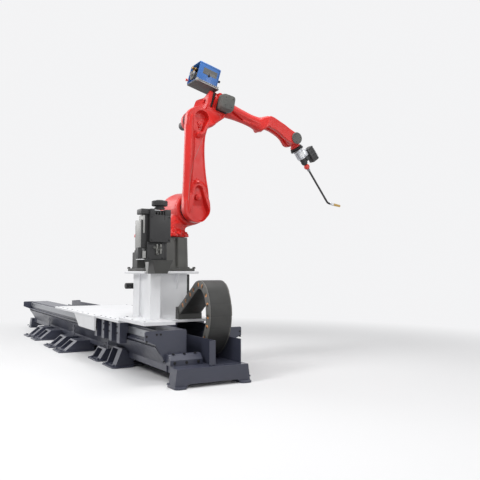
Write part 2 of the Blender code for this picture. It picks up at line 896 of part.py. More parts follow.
def make_cleaner(carriage):
    """The torch cleaning station: post, tapered tray, body with a waist, clamp, side arm and side bars."""
    low, high = deck_top + seat + front_plate_thick + seat, post_top - seat
    kink_low = low + post_slant_low_share * (high - low)
    kink_high = low + post_slant_high_share * (high - low)
    outline = [
        (post_far, low), (post_near, low), (post_near, high), (post_far + post_slant, high),
        (post_far + post_slant, kink_high), (post_far, kink_low),
    ]
    prism("cleaner_post", carriage, white_paint, outline, "y", -post_left, -post_right)

    tray_top = post_top + tray_height
    bottom = rounded_rectangle(
        tray_far + tray_slope / 2, tray_near - tray_slope, -tray_left + tray_slope,
        -tray_right - tray_slope, edge, 1,
    )
    upper = rounded_rectangle(tray_far, tray_near, -tray_left, -tray_right, edge, 1)
    tray = loft("cleaner_tray", carriage, dark_paint, [on_axis("z", bottom, post_top),
                                                       on_axis("z", upper, tray_top)])
    side_box = block(
        "tray_side_box", carriage, dark_paint, (side_box_far, -side_box_left, side_box_low),
        (side_box_near, -cleaner_low_left - running, side_box_high), edge,
    )
    join(tray, side_box)

    body_low = tray_top + seat
    waist_top = body_low + cleaner_low_height
    body_top = waist_top + cleaner_high_height
    lower = block(
        "cleaner_body", carriage, black_plastic,
        (cleaner_low_far, -cleaner_low_left, body_low), (cleaner_low_near, -cleaner_low_right,
                                                         waist_top + lap), edge,
    )
    shoulder = -cleaner_right - cleaner_cut_width
    outline = [
        (-cleaner_left, waist_top), (-cleaner_right, waist_top), (-cleaner_right, body_top - cleaner_cut),
        (shoulder, body_top), (-cleaner_left, body_top),
    ]
    case = prism("cleaner_case", carriage, black_plastic, outline, "x", cleaner_far, cleaner_near)
    arm = block(
        "cleaner_arm", carriage, black_plastic, (arm_block_far, -arm_block_left, arm_block_low),
        (arm_block_near, -cleaner_left + overrun, arm_block_high), edge,
    )
    join(lower, case, arm)

    middle = ((cleaner_near + cleaner_far) / 2, -(cleaner_left + cleaner_right) / 2, 0)
    neck_low = body_top + seat
    neck_top = neck_low + knob_neck_height
    knob_top = neck_top + knob_height
    turned("cleaner_clamp", carriage, dark_paint, [
        (knob_neck_radius + edge, neck_low), (knob_neck_radius, neck_low + edge),
        (knob_neck_radius, neck_top),
        (knob_radius, neck_top), (knob_radius, knob_top - edge), (knob_radius - edge, knob_top),
    ], "z", middle, small_round_steps)

    bar = block(
        "cleaner_side_unit", carriage, dark_paint, (side_bar_far, -side_bar_left, side_bar_low),
        (side_bar_near, -side_bar_right, side_bar_high), edge,
    )
    link = block(
        "side_unit_link", carriage, dark_paint, (side_link_far, -side_bar_right - overrun, side_link_low),
        (side_link_near, -side_link_right, arm_block_low - seat), 0,
    )
    join(bar, link)


def chain_path():
    """Centre line of the chain in the X-Z plane as (x, z, heading), a point at each pin and beside it."""
    centre_z = chain_low + chain_thick / 2
    big = (chain_big_centre_x, centre_z + chain_big_radius)
    reach = chain_big_radius - chain_small_radius
    small = (big[0] + reach * math.cos(chain_small_turn), big[1] + reach * math.sin(chain_small_turn))
    rise = chain_rise_angle
    touch = (
        small[0] - chain_small_radius * math.sin(rise),
        small[1] + chain_small_radius * math.cos(rise),
    )
    straight = (touch[0] - chain_start_x) / math.cos(rise)
    small_arc = chain_small_radius * (rise + math.pi / 2 - chain_small_turn)
    big_arc = chain_big_radius * (math.pi / 2 + chain_small_turn)
    total = straight + small_arc + big_arc + chain_tail

    def at(s):
        if s < straight:
            back = straight - s
            return touch[0] - back * math.cos(rise), touch[1] - back * math.sin(rise), rise
        s -= straight
        if s < small_arc:
            heading = rise - s / chain_small_radius
            return (
                small[0] - chain_small_radius * math.sin(heading),
                small[1] + chain_small_radius * math.cos(heading),
                heading,
            )
        s -= small_arc
        if s < big_arc:
            heading = chain_small_turn - math.pi / 2 - s / chain_big_radius
            return (
                big[0] - chain_big_radius * math.sin(heading),
                big[1] + chain_big_radius * math.cos(heading),
                heading,
            )
        s -= big_arc
        return big[0] - s, centre_z, -math.pi

    count = round(total / chain_pitch)
    stations = []
    for k in range(count):
        for share in (chain_pin_share, 1 - chain_pin_share):
            stations.append((k + share) * total / count)
    return [at(s) for s in stations]


def make_chain(carriage):
    """The energy chain as one loop: links that are thicker between their pins, bent along the path."""
    path = chain_path()
    low_y, high_y = channel_middle - chain_width / 2, channel_middle + chain_width / 2
    rings = []
    for k, (x, z, heading) in enumerate(path):
        up = Vector((-math.sin(heading), math.cos(heading)))
        for thin in ((True, False) if k % 2 == 0 else (False, True)):
            half = chain_thick / 2 - (chain_waist / 2 if thin else 0)
            shift = (-1 if k % 2 == 0 else 1) * (chain_waist if thin else 0)
            px, pz = x + math.cos(heading) * shift, z + math.sin(heading) * shift
            rings.append([
                (px - up.x * half, low_y, pz - up.y * half), (px - up.x * half, high_y, pz - up.y * half),
                (px + up.x * half, high_y, pz + up.y * half), (px + up.x * half, low_y, pz + up.y * half),
            ])
    loft("energy_chain", carriage, chain_plastic, rings)
    x, z, heading = path[0]
    back, low = riser_half + seat, deck_top + seat
    half = chain_thick / 2
    shift = chain_waist + seat
    x, z = x - shift * math.cos(heading), z - shift * math.sin(heading)
    foot = (x + half * math.sin(heading), z - half * math.cos(heading))
    head = (x - half * math.sin(heading), z + half * math.cos(heading))
    prism(
        "chain_bracket", carriage, dark_paint,
        [(back, low), (foot[0], low), foot, head, (back, head[1])], "y", low_y - overrun, high_y + overrun,
    )


def make_base(carriage):
    """The robot's fixed foot casting: a bolted flange and a body with round corners and a slight draft."""
    low = riser_top + seat
    flange = rounded_rectangle(-base_foot_half, base_foot_half, -base_foot_half, base_foot_half,
                               base_foot_corner)
    base = soft_prism("robot_base", carriage, dark_paint, flange, "z", low, low + base_foot_thick, edge)
    wide, slim = base_half, base_half - base_taper
    body = loft("robot_base_body", carriage, dark_paint, [
        on_axis("z", rounded_rectangle(-wide, wide, -wide, wide, base_corner), low + base_foot_thick - lap),
        on_axis("z", rounded_rectangle(-slim, slim, -slim, slim, base_corner), base_top - edge),
        on_axis("z", inset(rounded_rectangle(-slim, slim, -slim, slim, base_corner), edge), base_top),
    ])
    join(base, body)
    panel_low = low + base_foot_thick + edge
    block(
        "connector_panel", carriage, black_plastic,
        (-panel_width / 2, -wide - seat - panel_depth, panel_low),
        (panel_width / 2, -wide - seat, panel_low + panel_height), edge,
    )


# Robot arm

def make_column(turntable):
    """The turning column: a ring on the base, a flared neck and the second axis's cross housing."""
    low = joint_gap
    column = turned("turning_column", turntable, red_paint, [
        (ring_radius - edge, low), (ring_radius, low + edge), (ring_radius, ring_height - edge),
        (ring_radius - edge, ring_height),
    ], "z", (0, 0, 0))
    steps = bell_steps
    rings = []
    foot = ring_radius * neck_foot_share
    back_low = -(j1_motor_back - j1_motor_radius - running)
    back_high = j2_forward - housing_radius * neck_back_share
    front_high = j2_forward + housing_radius * neck_front_share
    for k in range(steps + 1):
        t = k / steps
        ease = t * t * (3 - 2 * t)
        half_x = foot * (1 - ease) + neck_half * ease
        back = back_low * (1 - ease) + back_high * ease
        front = foot * (1 - ease) + front_high * ease
        corner = min(half_x, (front - back) / 2) * (neck_corner_share - neck_corner_ease * ease)
        plan = rounded_rectangle(-half_x, half_x, back, front, corner)
        rings.append(on_axis("z", plan, ring_height - lap + t * (j2_rise - ring_height + lap)))
    neck = loft("column_neck", turntable, red_paint, rings)
    span = housing_left + housing_right
    housing = turned("column_housing", turntable, red_paint, [
        (housing_radius * share, -housing_left + span * along) for along, share in housing_shares
    ], "x", (0, j2_forward, j2_rise))
    join(column, neck, housing)
    rod(
        "turning_motor", turntable, black_plastic, j1_motor_radius, "z", (0, -j1_motor_back, 0),
        ring_height + seat, ring_height + seat + j1_motor_height, edge, small_round_steps,
    )
    rod(
        "shoulder_motor", turntable, black_plastic, j2_motor_radius, "x", (0, j2_forward, j2_rise),
        -housing_left - seat - j2_motor_length, -housing_left - seat, edge, small_round_steps,
    )


def arm_outline():
    """The lower arm's side outline as (Y, Z): two round lobes, a straight back and a waisted front."""
    top = (0, arm_length)
    lean = math.asin((low_lobe - high_lobe) / arm_length)
    steps = side_steps
    lower = arc((0, 0), low_lobe, math.pi - lean, math.tau + arm_front_turn, steps + corner_steps)
    upper = arc(top, high_lobe, arm_front_top_turn, math.pi - lean, steps)
    front = [(low_lobe * wide, arm_length * high) for high, wide in arm_front_shares]
    return lower + front + upper


def teardrop(centre, radius, tip, steps=pocket_steps):
    """A round pocket drawn out to a rounded point in the direction of tip."""
    away = Vector((tip[0] - centre[0], tip[1] - centre[1]))
    aim = math.atan2(away.y, away.x)
    small = radius * pocket_tip_share
    spread = math.acos((radius - small) / away.length)
    return (
        arc(centre, radius, aim + spread, aim + math.tau - spread, steps)
        + arc(tip, small, aim - spread, aim + spread, steps // 2)
    )


def make_lower_arm(shoulder):
    """The cast lower arm: waisted web, deeper lobes, a round spine and two teardrop pockets with bosses."""
    arm = soft_prism("lower_arm", shoulder, red_paint, arm_outline(), "x", arm_inner, arm_web, arm_round)
    for name, height, radius, hub in (
        ("low", 0, low_lobe - edge, low_hub), ("high", arm_length, high_lobe - edge, high_hub),
    ):
        lobe = soft_prism(
            "arm_%s_lobe" % name, shoulder, red_paint, circle((0, height), radius), "x", arm_lobe_inner,
            arm_rim, arm_round,
        )
        ring = rod(
            "arm_%s_hub" % name, shoulder, red_paint, hub, "x", (0, 0, height), housing_right + joint_gap,
            arm_lobe_inner + lap, joint_gap,
        )
        join(arm, lobe, ring)
    rings = []
    steps = cheek_steps
    start = -low_lobe * spine_start_share
    length = arm_length + high_lobe * spine_start_share - start
    root = arm_inner + lap
    for k in range(steps + 1):
        t = k / steps
        middle = -spine_low + (spine_low - spine_high) * t
        near_end = min(t, 1 - t) / spine_fade_share
        fade = math.sin(math.pi / 2 * min(near_end, 1))
        height = (arm_web - root) + (spine_top - arm_web) * fade
        rings.append([
            (root + height * math.sin(a), middle - spine_width / 2 * math.cos(a), start + t * length)
            for a in [math.pi * i / round_lug_steps for i in range(round_lug_steps + 1)]
        ])
    join(arm, loft("arm_spine", shoulder, red_paint, rings))

    floor = arm_rim - pocket_depth
    above = spine_top + overrun
    for name, centre, radius, tip in (
        ("low_pocket", low_pocket, low_pocket_radius, low_pocket_tip),
        ("high_pocket", high_pocket, high_pocket_radius, high_pocket_tip),
    ):
        cut(arm, prism(name, shoulder, red_paint, teardrop(centre, radius, tip), "x", floor, above))
        deep = circle(centre, radius * pocket_deep_share)
        cut(arm, prism(name + "_deep", shoulder, red_paint, deep, "x", arm_rim - pocket_deep, above))
    sides = side_steps
    for name, place_at, wide, top in (
        ("low_boss", low_boss, boss_radius, floor + boss_height),
        ("high_boss", high_boss, boss_radius, floor + boss_height),
        ("low_lug", low_lug, lug_radius, arm_web + lug_height),
        ("high_lug", high_lug, lug_radius, arm_web + lug_height),
    ):
        join(arm, prism(name, shoulder, red_paint, circle(place_at, wide, sides), "x", floor - lap, top))


def make_elbow(elbow):
    """The elbow casting: third axis's hub, a body that rises to the fourth axis's housing, and its cover."""
    casting = rod(
        "elbow_casting", elbow, red_paint, hub_radius, "x", (0, 0, 0), hub_left, hub_right, arm_round,
    )
    rings = []
    for z, left, right, back, front in elbow_rings:
        rings.append(on_axis("z", rounded_rectangle(left, right, back, front, elbow_corner), z))
    body = loft("elbow_body", elbow, red_paint, rings)
    housing = turned("elbow_housing", elbow, red_paint, [
        (j4_radius * j4_back_share, j4_back), (j4_radius, j4_back + arm_round),
        (j4_radius, j4_front - arm_round * 2), (j4_radius * j4_front_share, j4_front),
    ], "y", (0, 0, j4_rise))
    bump = turned("elbow_rear_bump", elbow, red_paint, [
        (rear_bump_radius - arm_round, rear_bump_back), (rear_bump_radius, rear_bump_back + arm_round),
        (rear_bump_radius, j4_back + overrun),
    ], "y", (-rear_bump_x, 0, rear_bump_z), small_round_steps)
    plate_low = feeder_plate_low
    pad = block(
        "elbow_feeder_pad", elbow, red_paint, (-feeder_pad_half, feeder_pad_back, j4_rise),
        (feeder_pad_half, feeder_plate_front - edge, plate_low - seat), 0,
    )
    join(casting, body, housing, bump, pad)
    # seat for the motor cover, cut flat
    cut(casting, block(
        "cover_seat", elbow, red_paint,
        (cover_in - seat, cover_back - seat, cover_low - seat),
        (hub_right + overrun, cover_front + overrun, cover_high + overrun), 0,
    ))
    cover_outline = rounded_rectangle(cover_back, cover_front, cover_low, cover_high, cover_round)
    soft_prism("elbow_motor_cover", elbow, cover_plastic, cover_outline, "x", cover_in, cover_out,
               cover_round / 2, 3)
    rod(
        "elbow_motor", elbow, black_plastic, j3_motor_radius, "x", (0, 0, 0),
        hub_left - seat - j3_motor_length, hub_left - seat, edge, small_round_steps,
    )
    plate_top = plate_low + feeder_plate_thick
    block(
        "feeder_plate", elbow, dark_paint,
        (-feeder_plate_half, -feeder_plate_back, plate_low),
        (feeder_plate_half, feeder_plate_front, plate_top), edge,
    )
    case_low = plate_top + seat
    back, front = -feeder_back, feeder_length - feeder_back
    case = block(
        "feeder_case", elbow, blue_paint, (-feeder_half, back, case_low),
        (feeder_half, front, case_low + feeder_height),
        edge * 2, 2,
    )
    cut(case, block(
        "feeder_mouth", elbow, blue_paint,
        (-feeder_half + feeder_wall, back - overrun, case_low + feeder_wall),
        (feeder_half - feeder_wall, back + feeder_recess, case_low + feeder_height - feeder_wall), 0,
    ))
    middle_z = case_low + feeder_height * reel_height_share
    rod(
        "feeder_reel", elbow, cover_plastic, reel_radius, "x",
        (0, back + feeder_recess - reel_radius - seat, middle_z),
        -reel_width, reel_width, edge, small_round_steps,
    )


def make_forearm(forearm):
    """The forearm tube from the fourth axis to the wrist fork, as one cast shape."""
    start = j4_front + joint_gap
    length = fork_start - start
    tube = turned("forearm", forearm, red_paint, [
        (forearm_radius * wide, start + length * along) for along, wide in tube_shares
    ], "y", (0, 0, 0))
    rings = []
    for along, wide, low, high in knuckle_shares:
        side = forearm_radius * wide
        plan = rounded_rectangle(
            -side, side, -forearm_radius * low, forearm_radius * high,
            forearm_radius * knuckle_corner_share,
        )
        rings.append(on_axis("y", plan, start + length * along))
    join(tube, loft("wrist_root", forearm, red_paint, rings))
    fork = wrist_reach - fork_start

    def fork_points(shares):
        return [(fork_start + fork * along, cheek_high * high) for along, high in shares]

    for name, side, low_shares, turn in (
        ("near_cheek", 1, near_cheek_shares, near_cheek_turn),
        ("far_cheek", -1, far_cheek_shares, far_cheek_turn),
    ):
        outline = (
            fork_points(low_shares) + arc((wrist_reach, 0), cheek_end, turn, cheek_end_turn, cheek_steps)
            + fork_points(cheek_top_shares)
        )
        inner, outer = side * cheek_in, side * cheek_out
        join(tube, prism(name, forearm, red_paint, outline, "x", min(inner, outer), max(inner, outer)))
    for name, side in (("near_wrist_cover", 1), ("far_wrist_cover", -1)):
        start_x = side * (cheek_out + seat)
        end_x = side * (cheek_out + seat + wrist_cover_thick)
        rod(
            name, forearm, cover_plastic, wrist_cover_radius, "x", (0, wrist_reach, 0),
            min(start_x, end_x), max(start_x, end_x), edge,
        )


def make_wrist(wrist):
    """The wrist block between the fork's cheeks, with the sixth axis's neck."""
    half = cheek_in - joint_gap
    hub = rod("wrist_body", wrist, red_paint, wrist_radius, "x", (0, 0, 0), -half, half, edge)
    neck = turned("wrist_neck", wrist, red_paint, [
        (wrist_radius * wide, wrist_length * along) for along, wide in wrist_neck_shares
    ], "y", (0, 0, 0), small_round_steps)
    join(hub, neck)


def make_tool(tool):
    """The welding torch on its flange. Lengths run from the fifth axis along the tool."""
    start = wrist_length + joint_gap
    flange_end = start + flange_thick
    rod("tool_flange", tool, machined_steel, flange_radius, "y", (0, 0, 0), start, flange_end, edge / 2)
    body_start = flange_end + seat
    body_end = body_start + torch_length
    turned("torch_body", tool, silver_metal, [
        (torch_radius, body_start), (torch_radius, body_end - torch_radius / 3),
        (torch_radius * torch_shoulder_share, body_end),
    ], "y", (0, 0, 0), small_round_steps)
    clamp_start = body_end + seat
    clamp_end = clamp_start + clamp_length
    turned("torch_clamp", tool, black_plastic, [
        (clamp_radius, clamp_start), (clamp_radius, clamp_end - clamp_radius / 2),
        (clamp_radius * clamp_nose_share, clamp_end),
    ], "y", (0, 0, 0), small_round_steps)
    low_z = torch_motor_offset - torch_motor_depth / 2
    half_w = torch_motor_width / 2
    motor = block(
        "torch_motor", tool, black_plastic,
        (-half_w, torch_motor_along - torch_motor_length / 2, low_z),
        (half_w, torch_motor_along + torch_motor_length / 2, low_z + torch_motor_depth), edge * 2,
    )
    join(motor, block(
        "torch_motor_arm", tool, black_plastic,
        (-half_w * motor_arm_share, body_end - torch_length / 2, torch_radius + seat),
        (half_w * motor_arm_share, body_end, low_z + lap), 0,
    ))
    ball_centre = clamp_end + seat + ball_radius * ball_sink_share
    ball_rings = [
        (ball_radius * math.sin(a), ball_centre - ball_radius * math.cos(a))
        for a in [math.pi * share for share in ball_turn_shares]
    ]
    turned("safety_ball", tool, ball_red, ball_rings, "y", (0, 0, 0), small_round_steps)
    tube_start = ball_rings[-1][1] + seat
    turn = wrist_bend + droop - nozzle_droop
    reach = tube_bend_radius * math.tan(turn / 2)
    bend_start = tube_bend_along - reach
    path = [(tube_start, 0.0, 0.0)]
    for k in range(corner_steps + 1):
        a = turn * k / corner_steps
        path.append((
            bend_start + tube_bend_radius * math.sin(a), tube_bend_radius * (1 - math.cos(a)), a,
        ))
    last = path[-1]
    collar = nozzle_length - tip_length * 3 / 2
    path.append((last[0] + (collar - reach) * math.cos(turn), last[1] + (collar - reach) * math.sin(turn),
                 turn))
    tube_circle = circle((0, 0), tube_radius, side_steps)

    def across(y, z, a, ring):
        return [(p, y - q * math.sin(a), z + q * math.cos(a)) for p, q in ring]

    loft("torch_neck", tool, dark_paint, [across(y, z, a, tube_circle) for y, z, a in path])
    end = path[-1]

    def nozzle_piece(name, paint, profile, steps):
        rings = []
        for radius, along in profile:
            y, z = end[0] + along * math.cos(turn), end[1] + along * math.sin(turn)
            rings.append(across(y, z, turn, circle((0, 0), radius, steps)))
        loft(name, tool, paint, rings)

    nozzle_end = nozzle_length - collar - tip_length
    nozzle_piece("gas_nozzle", silver_metal, (
        (tube_radius, seat), (nozzle_radius, seat + edge * 2), (nozzle_radius, nozzle_end),
    ), neck_steps)
    nozzle_piece("nozzle_tip", brass, (
        (nozzle_radius, nozzle_end + seat), (nozzle_radius, nozzle_end + tip_length * tip_straight_share),
        (nozzle_radius * tip_end_share, nozzle_end + tip_length),
    ), neck_steps)


def build():
    make_rail()
    make_end("near_end_plate", rail_near, 1)
    make_end("far_end_plate", rail_far, -1)
    for k in range(module_count - 1):
        near = -k * module_length
        reach = (wide_foot_half, wide_foot_top_half, wide_sole_half) if k else (foot_half, foot_top_half,
                                                                                sole_half)
        make_foot("foot_%da" % (k + 1), near, low_foot_ear if k else foot_ear, *reach)
        make_foot("foot_%db" % (k + 1), near - foot_spacing, low_foot_ear, *reach)
    plate = 2 * seat + end_plate_thick
    make_end_foot("near_end_foot", rail_near + plate, 1)
    make_end_foot("far_end_foot", rail_far - plate, -1)
    make_stop_block()
    make_trough()

    carriage = axis_frame("carriage_frame", None, (park, 0, 0))
    make_saddle("left_saddle", -1, carriage)
    make_saddle("right_saddle", 1, carriage)
    make_decks(carriage)
    make_riser(carriage)
    make_drive(carriage)
    make_cleaner(carriage)
    make_chain(carriage)
    make_base(carriage)

    turntable = axis_frame("turn_axis", carriage, (0, 0, base_top))
    make_column(turntable)
    shoulder = axis_frame("shoulder_axis", turntable, (0, j2_forward, j2_rise))
    make_lower_arm(shoulder)
    elbow = axis_frame("elbow_axis", shoulder, (0, 0, arm_length), -droop)
    make_elbow(elbow)
    forearm = axis_frame("forearm_axis", elbow, (0, 0, j4_rise))
    make_forearm(forearm)
    wrist = axis_frame("wrist_axis", forearm, (0, wrist_reach, 0), -wrist_bend)
    make_wrist(wrist)
    make_tool(wrist)


build()
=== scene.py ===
# Welding robot on a floor rail: finishes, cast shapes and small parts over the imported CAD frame.
# Metres. X runs along the rail to its near end, Y is the way the robot reaches, Z is up.

import json
import math

import bpy
import numpy as np
from mathutils import Matrix, Vector


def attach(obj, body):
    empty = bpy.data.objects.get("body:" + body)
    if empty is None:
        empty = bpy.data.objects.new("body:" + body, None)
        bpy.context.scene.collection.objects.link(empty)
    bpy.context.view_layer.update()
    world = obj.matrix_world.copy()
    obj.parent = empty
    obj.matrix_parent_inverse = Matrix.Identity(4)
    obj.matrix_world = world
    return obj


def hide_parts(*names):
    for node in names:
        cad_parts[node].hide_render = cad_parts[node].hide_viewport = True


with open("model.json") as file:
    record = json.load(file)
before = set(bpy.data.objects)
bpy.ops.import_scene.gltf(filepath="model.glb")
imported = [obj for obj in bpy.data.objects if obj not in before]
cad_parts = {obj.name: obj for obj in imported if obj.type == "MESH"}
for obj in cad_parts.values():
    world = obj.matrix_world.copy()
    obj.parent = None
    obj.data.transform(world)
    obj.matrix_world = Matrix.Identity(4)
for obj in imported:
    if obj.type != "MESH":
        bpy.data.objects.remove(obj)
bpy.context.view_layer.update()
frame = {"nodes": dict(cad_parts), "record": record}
print("frame loaded,", len(frame["nodes"]), "nodes")


# Camera, from the photograph's vanishing points

cameraSettings = {
    "place": (4.892, -1.903, 0.80),
    "turn": 60.0,         # degrees, 0 looks along +Y and 90 along -X
    "tilt": 5.42,         # degrees above level
    "film": 36.0,         # mm wide
    "lens": 44.25,        # mm
    "shiftY": -0.0542,
    "farthest": 100.0,
}


def addCamera(settings):
    turn, tilt = math.radians(settings["turn"]), math.radians(settings["tilt"])
    level = Vector((-math.sin(turn), math.cos(turn), 0))
    look = level * math.cos(tilt) + Vector((0, 0, math.sin(tilt)))
    lensData = bpy.data.cameras.new("photoCamera")
    lensData.sensor_width = settings["film"]
    lensData.lens = settings["lens"]
    lensData.shift_y = settings["shiftY"]
    lensData.clip_end = settings["farthest"]
    camera = bpy.data.objects.new("photoCamera", lensData)
    camera.location = settings["place"]
    camera.rotation_euler = look.to_track_quat("-Z", "Y").to_euler()
    bpy.context.scene.collection.objects.link(camera)
    bpy.context.scene.camera = camera


addCamera(cameraSettings)
print("camera set")


# Meshes from whole arrays

def arrayMesh(points, faces):
    # mesh from an array of points and an array of faces that all have the same number of corners
    mesh = bpy.data.meshes.new("shape")
    faces = np.asarray(faces, dtype=np.int32)
    mesh.vertices.add(len(points))
    mesh.vertices.foreach_set("co", np.asarray(points, dtype=np.float32).ravel())
    mesh.loops.add(faces.size)
    mesh.loops.foreach_set("vertex_index", faces.ravel())
    mesh.polygons.add(len(faces))
    mesh.polygons.foreach_set("loop_start", np.arange(len(faces), dtype=np.int32) * faces.shape[1])
    mesh.update(calc_edges=True)
    return mesh


def meshArrays(mesh):
    # the other way: points and faces of a mesh whose faces all have the same number of corners
    points = np.empty(len(mesh.vertices) * 3, np.float32)
    mesh.vertices.foreach_get("co", points)
    corners = np.empty(len(mesh.loops), np.int32)
    mesh.loops.foreach_get("vertex_index", corners)
    return points.reshape(-1, 3), corners.reshape(len(mesh.polygons), -1)


def gridMesh(points, closeU=False, closeV=False):
    # mesh over an array of points indexed [u, v, xyz]; closeU and closeV join far edges to near ones
    countU, countV = points.shape[:2]
    index = np.arange(countU * countV).reshape(countU, countV)
    rows = np.vstack([index, index[:1]]) if closeU else index
    rows = np.hstack([rows, rows[:, :1]]) if closeV else rows
    quads = np.stack([rows[:-1, :-1], rows[1:, :-1], rows[1:, 1:], rows[:-1, 1:]], axis=-1).reshape(-1, 4)
    return arrayMesh(points.reshape(-1, 3), quads)


def outward(mesh):
    # turns a closed mesh's faces outwards, judged by its signed volume
    points, faces = meshArrays(mesh)
    p = points[faces].astype(float)
    p = p - p.reshape(-1, 3).mean(axis=0)
    volume = sum(np.einsum("ij,ij->i", p[:, 0], np.cross(p[:, k], p[:, k + 1])).sum()
                 for k in range(1, faces.shape[1] - 1))
    return arrayMesh(points, faces[:, ::-1]) if volume < 0 else mesh


# Floor, backdrop and light

stageSettings = {
    "floorHalf": 40.0,
    "floorColour": (0.86, 0.86, 0.865),
    "floorRough": 0.75,
    "floorCloud": (0.8, 0.97),     # clouds per metre, and how much darker they are
    "backdrop": (0.90, 0.90, 0.91),
    "fade": (2.2, 5.2),            # metres from the middle where the floor turns into the backdrop
    "bounce": 0.40,                # share of the floor's colour that lights the object from below
    "worldColour": (0.94, 0.96, 1.0),
    "worldStrength": 0.09,
    "aim": (0.3, 0.2, 1.1),
    "lamps": {
        # place, watts, size, seen in reflections
        "keyLamp": ((1.2, -5.6, 5.6), 245.0, 2.2, False),
        "softLamp": ((5.2, -1.6, 6.6), 185.0, 2.2, False),
        "glossLamp": ((5.6, 3.0, 2.9), 44.0, 2.0, True),
        "frontLamp": ((6.4, -1.6, 2.0), 50.0, 2.4, False),
        "topLamp": ((0.4, 0.8, 6.2), 150.0, 2.4, True),
        "rimLamp": ((-4.8, -2.6, 3.5), 110.0, 3.4, True),
    },
}


def setSockets(tree, node, values):
    # links each named socket from an output, or sets it where the value is a plain one
    for socket, value in values.items():
        if isinstance(value, bpy.types.NodeSocket):
            tree.links.new(value, node.inputs[socket])
        else:
            node.inputs[socket].default_value = value


def addNode(tree, kind, values, **options):
    node = tree.nodes.new("ShaderNode" + kind)
    for option, value in options.items():
        setattr(node, option, value)
    setSockets(tree, node, values)
    return node


def seenDirectly(tree):
    # 1 for rays from the camera, off gloss and through glass, 0 for the light that lands on paint
    ray = addNode(tree, "LightPath", {})
    seen = ray.outputs["Is Camera Ray"]
    for kind in ("Is Glossy Ray", "Is Transmission Ray"):
        seen = addNode(tree, "Math", {0: seen, 1: ray.outputs[kind]}, operation="MAXIMUM").outputs["Value"]
    return seen


def floorPaint(settings):
    # plain paint that takes the shadow near the object and fades into the backdrop further out
    made = bpy.data.materials.new("floorPaint")
    made.use_nodes = True
    tree = made.node_tree
    colour, (cloudScale, cloudShade) = settings["floorColour"], settings["floorCloud"]
    place = addNode(tree, "TexCoord", {}).outputs["Object"]
    distance = addNode(tree, "VectorMath", {0: place}, operation="LENGTH").outputs["Value"]
    fade = addNode(tree, "MapRange", {"Value": distance, "From Min": settings["fade"][0],
                                      "From Max": settings["fade"][1]}, interpolation_type="SMOOTHSTEP")
    noise = addNode(tree, "TexNoise", {"Vector": place, "Scale": cloudScale}).outputs["Fac"]
    shade = addNode(tree, "MixRGB", {"Fac": noise, "Color1": (*colour, 1),
                                     "Color2": (*(cloudShade * c for c in colour), 1)}).outputs["Color"]
    # less of the floor's light is thrown back up than the camera sees
    dim = (*(settings["bounce"] * c for c in colour), 1)
    seen = addNode(tree, "MixRGB", {"Fac": seenDirectly(tree), "Color1": dim,
                                    "Color2": shade}).outputs["Color"]
    shader = tree.nodes["Principled BSDF"]
    setSockets(tree, shader, {"Base Color": seen, "Roughness": settings["floorRough"]})
    glow = addNode(tree, "Emission", {"Color": (*settings["backdrop"], 1)}).outputs["Emission"]
    mix = addNode(tree, "MixShader", {0: fade.outputs["Result"], 1: shader.outputs["BSDF"], 2: glow})
    setSockets(tree, tree.nodes["Material Output"], {"Surface": mix.outputs["Shader"]})
    return made


def addStage(settings):
    half = settings["floorHalf"]
    corners = np.array([(-half, -half, 0), (half, -half, 0), (half, half, 0), (-half, half, 0)], float)
    floor = bpy.data.objects.new("floor", arrayMesh(corners, [(0, 1, 2, 3)]))
    floor.data.materials.append(floorPaint(settings))
    bpy.context.scene.collection.objects.link(floor)

    world = bpy.data.worlds.new("studio")
    bpy.context.scene.world = world
    world.use_nodes = True
    tree = world.node_tree
    tree.nodes.clear()
    soft = addNode(tree, "Background", {"Color": (*settings["worldColour"], 1),
                                        "Strength": settings["worldStrength"]})
    seen = addNode(tree, "Background", {"Color": (*settings["backdrop"], 1), "Strength": 1.0})
    mix = addNode(tree, "MixShader", {0: seenDirectly(tree), 1: soft.outputs["Background"],
                                      2: seen.outputs["Background"]})
    addNode(tree, "OutputWorld", {"Surface": mix.outputs["Shader"]})

    for name, (place, watts, size, seenInGloss) in settings["lamps"].items():
        lampData = bpy.data.lights.new(name, "AREA")
        lampData.energy = watts
        lampData.size = size
        lamp = bpy.data.objects.new(name, lampData)
        lamp.location = place
        lamp.visible_glossy = seenInGloss
        lamp.rotation_euler = (Vector(settings["aim"]) - Vector(place)).to_track_quat("-Z", "Y").to_euler()
        bpy.context.scene.collection.objects.link(lamp)


addStage(stageSettings)
bpy.context.scene.view_settings.view_transform = "Standard"
print("floor and light set")


# Finishes

